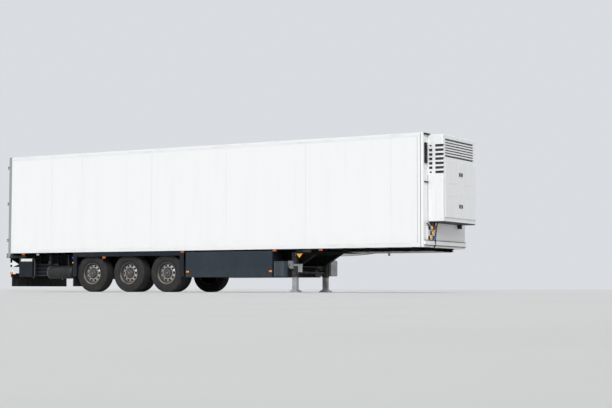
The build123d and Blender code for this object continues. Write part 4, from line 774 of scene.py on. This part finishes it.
# Small fittings along the right side
mesh = bmesh.new()
addBox(mesh, (-5.9175, -1.292, 1.066), (-5.8225, -1.272, 1.112), 0.004, 2)
addStub(mesh, (-5.89, -1.28, 1.11), (0, 0, 0.03), 0.009, 10)
addPiece(mesh, "doorRetainer", galvanised)
mesh = bmesh.new()
addStub(mesh, (-5.52, -1.165, 0.855), (0, 0.02, 0), 0.045, 24)
addStub(mesh, (-5.52, -1.15, 0.9), (0, 0, 0.19), 0.01, 10)
addBox(mesh, (-4.572, -1.15, 0.79), (-4.552, -1.1, 1.09), 0.003)
addPiece(mesh, "hangerBrackets", darkMachine)
# Each valve knob on the rear post: along, height, radius and finish
knobs = {"blue": (-4.54, 0.985, 0.026, lineFinish["blue"]), "amber": (-4.535, 0.84, 0.022, lineFinish["yellow"])}
for name, (along, height, radius, finish) in knobs.items():
    mesh = bmesh.new()
    addStub(mesh, (along, -1.285, height), (0, -0.014, 0), radius, 20, radius * 0.85)
    addPiece(mesh, f"{name}Knob", finish)
tagYellow = surface(
    "tagYellow", colour=(0.8, 0.4, 0.03), roughness=0.45,
    layers=[layer((0.5, 0.26, 0.05), None, 20, 0.4, (0.45, 0.7))])
mesh = bmesh.new()
addPlate(mesh, [(2.954, -1.252, 1.012), (3.137, -1.252, 1.012), (3.0455, -1.252, 0.905)], 0.003)
addPiece(mesh, "warningTag", tagYellow)
mesh = bmesh.new()
addBox(mesh, (2.938, -1.25, 1.009), (3.166, -1.235, 1.12), 0.006, 2)
addPiece(mesh, "tagHolder", chassisPaint)
rustFinish = surface(
    "rustedPlate", colour=(0.055, 0.032, 0.02), roughness=0.85, specular=0.3,
    layers=[layer((0.02, 0.016, 0.014), None, 12, 0.7)], bumps=[(60, 0.4, 0.001)])
mesh = bmesh.new()
addBox(mesh, (3.152, -1.256, 1.046), (3.394, -1.244, 1.128), 0.003)
addPiece(mesh, "rustedBracket", rustFinish)
print("side fittings ready")

# Tool box: blank strip, pressed lines drawn as black strips of painted shade and latches on the lid, and the bent edge
# beside it
stripFinish = surface(
    "blankStrip", colour=(0.8, 0.8, 0.79), roughness=0.45,
    layers=[layer((0.5, 0.48, 0.45), None, 12, 0.6, (0.45, 0.7))])
toolBox = {"strip": (0.895, 0.972), "lines": (0.868, 0.585), "upright": (0.45, 0.975), "latchInset": 0.14,
           "latch": (0.815, 0.86), "lockHeight": 0.838, "edgeRadius": 0.012}
lidLow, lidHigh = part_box("tool_box_lid")
mesh = bmesh.new()
addBox(mesh, (lidLow.x + 0.064, lidLow.y - 0.0015, toolBox["strip"][0]),
       (lidHigh.x - 0.008, lidLow.y, toolBox["strip"][1]), 0.0005)
addPiece(mesh, "blankStrip", stripFinish, "tool_box_lid_body")
mesh = bmesh.new()
# The pressed lines are black strips of painted shade
for height in toolBox["lines"]:
    addBox(mesh, (lidLow.x + 0.01, lidLow.y - 0.001, height), (lidHigh.x - 0.01, lidLow.y, height + 0.008))
addBox(mesh, (lidLow.x + 0.03, lidLow.y - 0.001, toolBox["upright"][0]),
       (lidLow.x + 0.036, lidLow.y, toolBox["upright"][1]))
for spot in (lidLow.x + toolBox["latchInset"], lidHigh.x - toolBox["latchInset"]):
    addBox(mesh, (spot - 0.03, lidLow.y - 0.004, toolBox["latch"][0]), (spot + 0.03, lidLow.y, toolBox["latch"][1]),
           0.001)
    addStub(mesh, (spot, lidLow.y - 0.004, toolBox["lockHeight"]), (0, -0.0035, 0), 0.013, 16)
addPiece(mesh, "lidShadeLinesAndLatches", blackPlastic, "tool_box_lid_body")
toolLow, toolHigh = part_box("tool_box")
mesh = bmesh.new()
addPipe(mesh, [(toolHigh.x - 0.002, -1.268, toolHigh.z - 0.004), (toolHigh.x + 0.004, -1.2, toolHigh.z - 0.05),
               (toolHigh.x + 0.004, -1.2, 0.7), (toolHigh.x + 0.004, -1.2, toolLow.z + 0.02),
               (toolHigh.x - 0.01, -1.2, toolLow.z - 0.012), (toolHigh.x - 0.06, -1.2, toolLow.z - 0.014)],
        toolBox["edgeRadius"])
addPiece(mesh, "toolBoxEdge", dullSteel)

# Air tanks: bands, end bosses and drains
tanks = {"across": 1.05, "height": 0.572, "radius": 0.188,
         "bands": {"Rear": (-5.5313, dullSteel), "Front": (-4.8738, tankPaint)}}
tankLow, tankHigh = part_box("air_tanks")
for word, (spot, finish) in tanks["bands"].items():
    mesh = bmesh.new()
    for side in (-1, 1):
        middle = Vector((spot, side * tanks["across"], tanks["height"]))
        addRing(mesh, tanks["radius"], tanks["radius"] + 0.004, -0.02, 0.02, middle, (1, 0, 0))
        addStub(mesh, middle + Vector((0, -0.03, tanks["radius"] + 0.02)), (0, 0.06, 0), 0.008, 8)
    addPiece(mesh, f"tankBands{word}", finish)
mesh = bmesh.new()
for side in (-1, 1):
    for spot, way in ((tankLow.x, -1), (tankHigh.x, 1)):
        for start, end, radius, segments in ((-0.004, 0.012, 0.03, 20), (0.012, 0.026, 0.018, 6)):
            addRod(mesh, (spot + way * start, side * tanks["across"], tanks["height"]),
                   (spot + way * end, side * tanks["across"], tanks["height"]), radius, segments)
    addStub(mesh, ((tankLow.x + tankHigh.x) / 2, side * tanks["across"], tanks["height"] - tanks["radius"] - 0.03),
            (0, 0, 0.04), 0.016, 12)
addPiece(mesh, "tankBosses", bareSteel)

# Bolts of the front box, and the fuel tank's straps and ribbed cap
cases = {
    "boltInset": 0.07, "boltHeights": (0.45, 0.785), "straps": (0.06, 0.22), "capRibs": 12, "capRadius": 0.045,
    "strapSides": (((0.898, 0.436), (1.266, 0.44)), ((1.262, 0.44), (1.266, 0.88)), ((0.898, 0.88), (1.266, 0.884))),
}
mesh = bmesh.new()
caseLow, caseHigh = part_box("front_box")
addStubs(mesh, (caseLow.x + cases["boltInset"], caseHigh.x - cases["boltInset"]), caseLow.y - 0.003,
         cases["boltHeights"], (0, 0.003, 0), 0.008, 8)
addPiece(mesh, "frontBoxBolts", blackPlastic)
fuelLow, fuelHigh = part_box("fuel_tank")
mesh = bmesh.new()
for inset in cases["straps"]:
    spot = fuelLow.x + inset
    for low, high in cases["strapSides"]:
        addBox(mesh, (spot - 0.018, *low), (spot + 0.018, *high))
capSpot = Vector((fuelHigh.x - 0.08, 1.15, fuelHigh.z))
addStub(mesh, capSpot, (0, 0, 0.025), 0.046, 24, 0.042)
for cosine, sine in around(cases["capRibs"]):
    addStub(mesh, capSpot + Vector((cosine, sine, 0)) * cases["capRadius"], (0, 0, 0.022), 0.005, 6)
addPiece(mesh, "fuelTankFittings", galvanised)
print("boxes and tanks ready")

# Running gear: pivot bolts, U-bolts, dampers, chamber bands, brake hoses and air lines
gear = {
    "arm": 0.65, "pivot": (0.49, 0.6), "plateFace": 0.0623, "armTop": 0.6843,
    "hoop": ((-0.088, 0.72), (-0.088, 0.6), (-0.088, 0.49), (-0.06, 0.452), (0, 0.436), (0.06, 0.452), (0.088, 0.49),
             (0.088, 0.6), (0.088, 0.72)),
    "damper": ((0.02, 0.53, 0.49), (0.2, 0.545, 0.93)), "chamber": (0.06, 0.45, 0.66),
    "hose": ((0.12, 0, 0.078), (0.14, 0, 0.16), (0.2, 0.05, 0.24), (0.3, 0.14, 0.3)),
    "lineSide": 0.634, "lineHeights": (0.985, 1.01, 1.035),
}
boltMesh = bmesh.new()
damperMesh = bmesh.new()
hoseMesh = bmesh.new()
for index in range(3):
    axle = running["firstAxle"] + index * running["pitch"]
    for side in (-1, 1):
        arm = side * gear["arm"]
        for way in (-1, 1):
            pivot = (axle + gear["pivot"][0], arm + way * gear["plateFace"], gear["pivot"][1])
            addStub(boltMesh, pivot, (0, way * 0.004, 0), 0.034, 20)
            addStub(boltMesh, pivot, (0, way * 0.02, 0), 0.022, 6)
            leg = arm + way * 0.062
            addPipe(boltMesh, [(axle + along, leg, height) for along, height in gear["hoop"]], 0.01, 2)
            addStubs(boltMesh, (axle - 0.088, axle + 0.088), leg, 0.698, (0, 0, 0.016), 0.016, 6)
        addBox(boltMesh, (axle - 0.11, arm - 0.08, gear["armTop"]), (axle + 0.11, arm + 0.08, gear["armTop"] + 0.014),
               0.004)
        low, high = (Vector((axle + along, side * across, up)) for along, across, up in gear["damper"])
        for start, end, radius, segments in ((0, 1, 0.018, 12), (0, 0.52, 0.034, 20), (0.42, 0.93, 0.041, 20)):
            addRod(damperMesh, low.lerp(high, start), low.lerp(high, end), radius, segments)
        for end in (low, high):
            addStub(damperMesh, end - Vector((0, 0.03, 0)), (0, 0.06, 0), 0.024, 14)
        addBox(damperMesh, (high.x - 0.03, side * 0.575, 0.88), (high.x + 0.03, side * 0.646, 0.98), 0.004)
        chamber = Vector((axle + gear["chamber"][0], side * gear["chamber"][1], gear["chamber"][2]))
        for along in (0.06, 0.1):
            addRing(boltMesh, 0.079, 0.087, along - 0.008, along + 0.008, chamber, (1, 0, 0), 32)
        addStub(boltMesh, chamber + Vector((0.17, 0, 0)), (0.015, 0, 0), 0.014, 6)
        route = [chamber + Vector((along, side * across, up)) for along, across, up in gear["hose"]]
        addPipe(hoseMesh, route + [(axle + 0.42, side * 0.628, 0.985)], 0.008)
for side in (-1, 1):
    across = side * gear["lineSide"]
    for height in gear["lineHeights"]:
        addPipe(hoseMesh, [(-6.3, across, height), (-2.0, across, height), (3.2, across, height),
                           (3.9, across, height + 0.02), (4.4, across, 1.06 + (height - 0.985) * 0.3)], 0.007, 2)
addPiece(boltMesh, "suspensionBolts", bareSteel)
addPiece(damperMesh, "dampers", darkMachine)
addPiece(hoseMesh, "airLines", blackRubber)
print("running gear ready")

# Load space: floor ribs, kick plates, ceiling lamps, and the fans behind their guards
hold = {
    "start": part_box("floor")[0].x + 0.01, "end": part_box("evaporator")[1].x - 0.003,
    "half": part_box("side_wall_left")[0].y, "floor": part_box("floor")[1].z, "ceiling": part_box("roof")[0].z,
    "ribs": 48, "ribHeight": 0.003, "kickHeight": 0.25, "kickScrews": 34,
    "lamps": (-4.7, -1.2, 2.3), "fans": (-0.6, -0.2, 0.2, 0.6), "fanHeight": 3.75, "fanRadius": 0.117, "blades": 5,
    "guardRings": (0.035, 0.056, 0.077, 0.098, 0.119, 0.137), "guardSpokes": 4,
}
mesh = bmesh.new()
for across in span(0.03 - hold["half"], hold["half"] - 0.03, hold["ribs"]):
    addBox(mesh, (hold["start"], across - 0.004, hold["floor"]),
           (hold["end"], across + 0.004, hold["floor"] + hold["ribHeight"]))
for side in (-1, 1):
    kickFace = side * (hold["half"] - 0.002)
    addBox(mesh, (hold["start"], kickFace, hold["floor"]),
           (hold["end"], side * hold["half"], hold["floor"] + hold["kickHeight"]))
    addStubs(mesh, span(hold["start"] + 0.1, hold["end"] - 0.1, hold["kickScrews"]), kickFace,
             hold["floor"] + hold["kickHeight"] - 0.02, (0, -side * 0.002, 0), 0.006, 8)
addPiece(mesh, "floorRibs", floorAlloy)
mesh = bmesh.new()
for spot in hold["lamps"]:
    addBox(mesh, (spot - 0.15, -0.045, hold["ceiling"] - 0.022), (spot + 0.15, 0.045, hold["ceiling"]), 0.008, 2)
addPiece(mesh, "ceilingLamps", clearLens)
fanMesh = bmesh.new()
guardMesh = bmesh.new()
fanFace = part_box("evaporator")[0].x
for across in hold["fans"]:
    centre = Vector((fanFace + 0.03, across, hold["fanHeight"]))
    addStub(fanMesh, centre, (0.019, 0, 0), 0.034, 24)
    for cosine, sine in around(hold["blades"]):
        out = Vector((0, cosine, sine))
        along = Vector((0, -sine, cosine))
        root = centre + Vector((0.01, 0, 0)) + out * 0.03
        end = centre + Vector((0.01, 0, 0)) + out * (hold["fanRadius"] - 0.006)
        corners = [(root, -0.018, -0.006), (end, -0.04, -0.008), (end, 0.03, 0.006), (root, 0.018, 0.006)]
        addPlate(fanMesh, [spot + along * wide + Vector((pitch, 0, 0)) for spot, wide, pitch in corners], 0.0015)
    for radius in hold["guardRings"]:
        addRing(guardMesh, radius - 0.0015, radius + 0.0015, -0.003, 0.0, (fanFace, across, hold["fanHeight"]),
                (1, 0, 0), 32)
    middle = Vector((fanFace - 0.0045, across, hold["fanHeight"]))
    for cosine, sine in around(hold["guardSpokes"], 0.5):
        out = Vector((0, cosine, sine))
        addRod(guardMesh, middle + out * 0.02, middle + out * 0.14, 0.0025, 6)
addPiece(fanMesh, "evaporatorFans", blackPlastic)
addPiece(guardMesh, "fanGuards", galvanised)
print("load space ready")

# Landing legs: bolts on the brackets, the feet and the gearbox, and the crank's end
legs = {
    "along": (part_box("landing_feet")[0].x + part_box("landing_feet")[1].x) / 2, "outer": 0.88, "gearFace": -0.95,
    "gearBolts": ((-0.135, 0.82), (-0.025, 0.82), (-0.025, 0.64), (-0.09, 0.64), (-0.135, 0.71)),
}
mesh = bmesh.new()
for side in (-1, 1):
    addStubs(mesh, (legs["along"] - 0.05, legs["along"] + 0.05), side * legs["outer"], (0.985, 1.035),
             (0, side * 0.012, 0), 0.013, 6)
    addStubs(mesh, (legs["along"] - 0.1, legs["along"] + 0.1), side * 0.81 - 0.075, 0.016, (0, 0, 0.008), 0.012, 6)
for shift, height in legs["gearBolts"]:
    addStub(mesh, (legs["along"] + shift, legs["gearFace"], height), (0, -0.007, 0), 0.0085, 6)
addStub(mesh, (legs["along"] - 0.075, legs["gearFace"], 0.735), (0, -0.022, 0), 0.018, 16)
addPiece(mesh, "legBolts", bareSteel)
print("landing gear ready")

# Floor, lights and camera
studio = {
    "floorSize": 900, "floorColour": (0.66, 0.66, 0.65), "backColour": (0.7, 0.72, 0.75),
    "fill": 0.42, "sunStrength": 2.4, "sunAngle": 35, "sunTurn": (55, 0, 28),
    "backStrength": 0.9, "backAngle": 60, "backTurn": (84, 0, 218),  # low and soft, for the sides turned away
}
mesh = bmesh.new()
bmesh.ops.create_grid(mesh, x_segments=1, y_segments=1, size=studio["floorSize"] / 2)
floorData = bpy.data.meshes.new("studioFloor")
mesh.to_mesh(floorData)
mesh.free()
studioFloor = bpy.data.objects.new("studioFloor", floorData)
bpy.context.scene.collection.objects.link(studioFloor)
floorData.materials.append(surface(
    "floorFinish", colour=studio["floorColour"], roughness=0.85, layers=[layer((0.6, 0.6, 0.59), None, 0.7, 0.3)]))

world = bpy.data.worlds.new("studioWorld")
bpy.context.scene.world = world
world.use_nodes = True
worldTree = world.node_tree
paths = addNode(worldTree, "ShaderNodeLightPath")
seen = calc(worldTree, "MAXIMUM", paths.outputs["Is Camera Ray"], paths.outputs["Is Glossy Ray"])
seen = calc(worldTree, "MAXIMUM", seen, paths.outputs["Is Transmission Ray"])
fillLight = worldTree.nodes["Background"]
fillLight.inputs["Color"].default_value = (0.95, 0.97, 1.0, 1)
fillLight.inputs["Strength"].default_value = studio["fill"]
backdrop = addNode(worldTree, "ShaderNodeBackground", {"Color": (*studio["backColour"], 1), "Strength": 1.0})
both = addNode(worldTree, "ShaderNodeMixShader", {0: seen, 1: fillLight.outputs[0], 2: backdrop.outputs[0]})
worldTree.links.new(both.outputs[0], worldTree.nodes["World Output"].inputs["Surface"])

for lampName in ("sun", "back"):
    lampData = bpy.data.lights.new(f"{lampName}Lamp", "SUN")
    lampData.energy = studio[f"{lampName}Strength"]
    lampData.angle = math.radians(studio[f"{lampName}Angle"])
    lamp = bpy.data.objects.new(f"{lampName}Lamp", lampData)
    lamp.rotation_euler = [math.radians(angle) for angle in studio[f"{lampName}Turn"]]
    bpy.context.scene.collection.objects.link(lamp)

view = {"place": (21.4145, -32.288, 0.09), "yaw": 30.351, "pitch": 3.529, "roll": 0.07, "lens": 81.11}
cameraData = bpy.data.cameras.new("photoCamera")
cameraData.lens = view["lens"]
cameraData.sensor_width = 36
cameraData.clip_end = 1000
camera = bpy.data.objects.new("photoCamera", cameraData)
camera.matrix_world = (
    Matrix.Translation(view["place"])
    @ Matrix.Rotation(math.radians(view["yaw"]), 4, "Z")
    @ Matrix.Rotation(math.radians(90 + view["pitch"]), 4, "X")
    @ Matrix.Rotation(math.radians(view["roll"]), 4, "Z")
)
bpy.context.scene.collection.objects.link(camera)
bpy.context.scene.camera = camera
bpy.context.scene.view_settings.view_transform = "Standard"
print("studio ready")
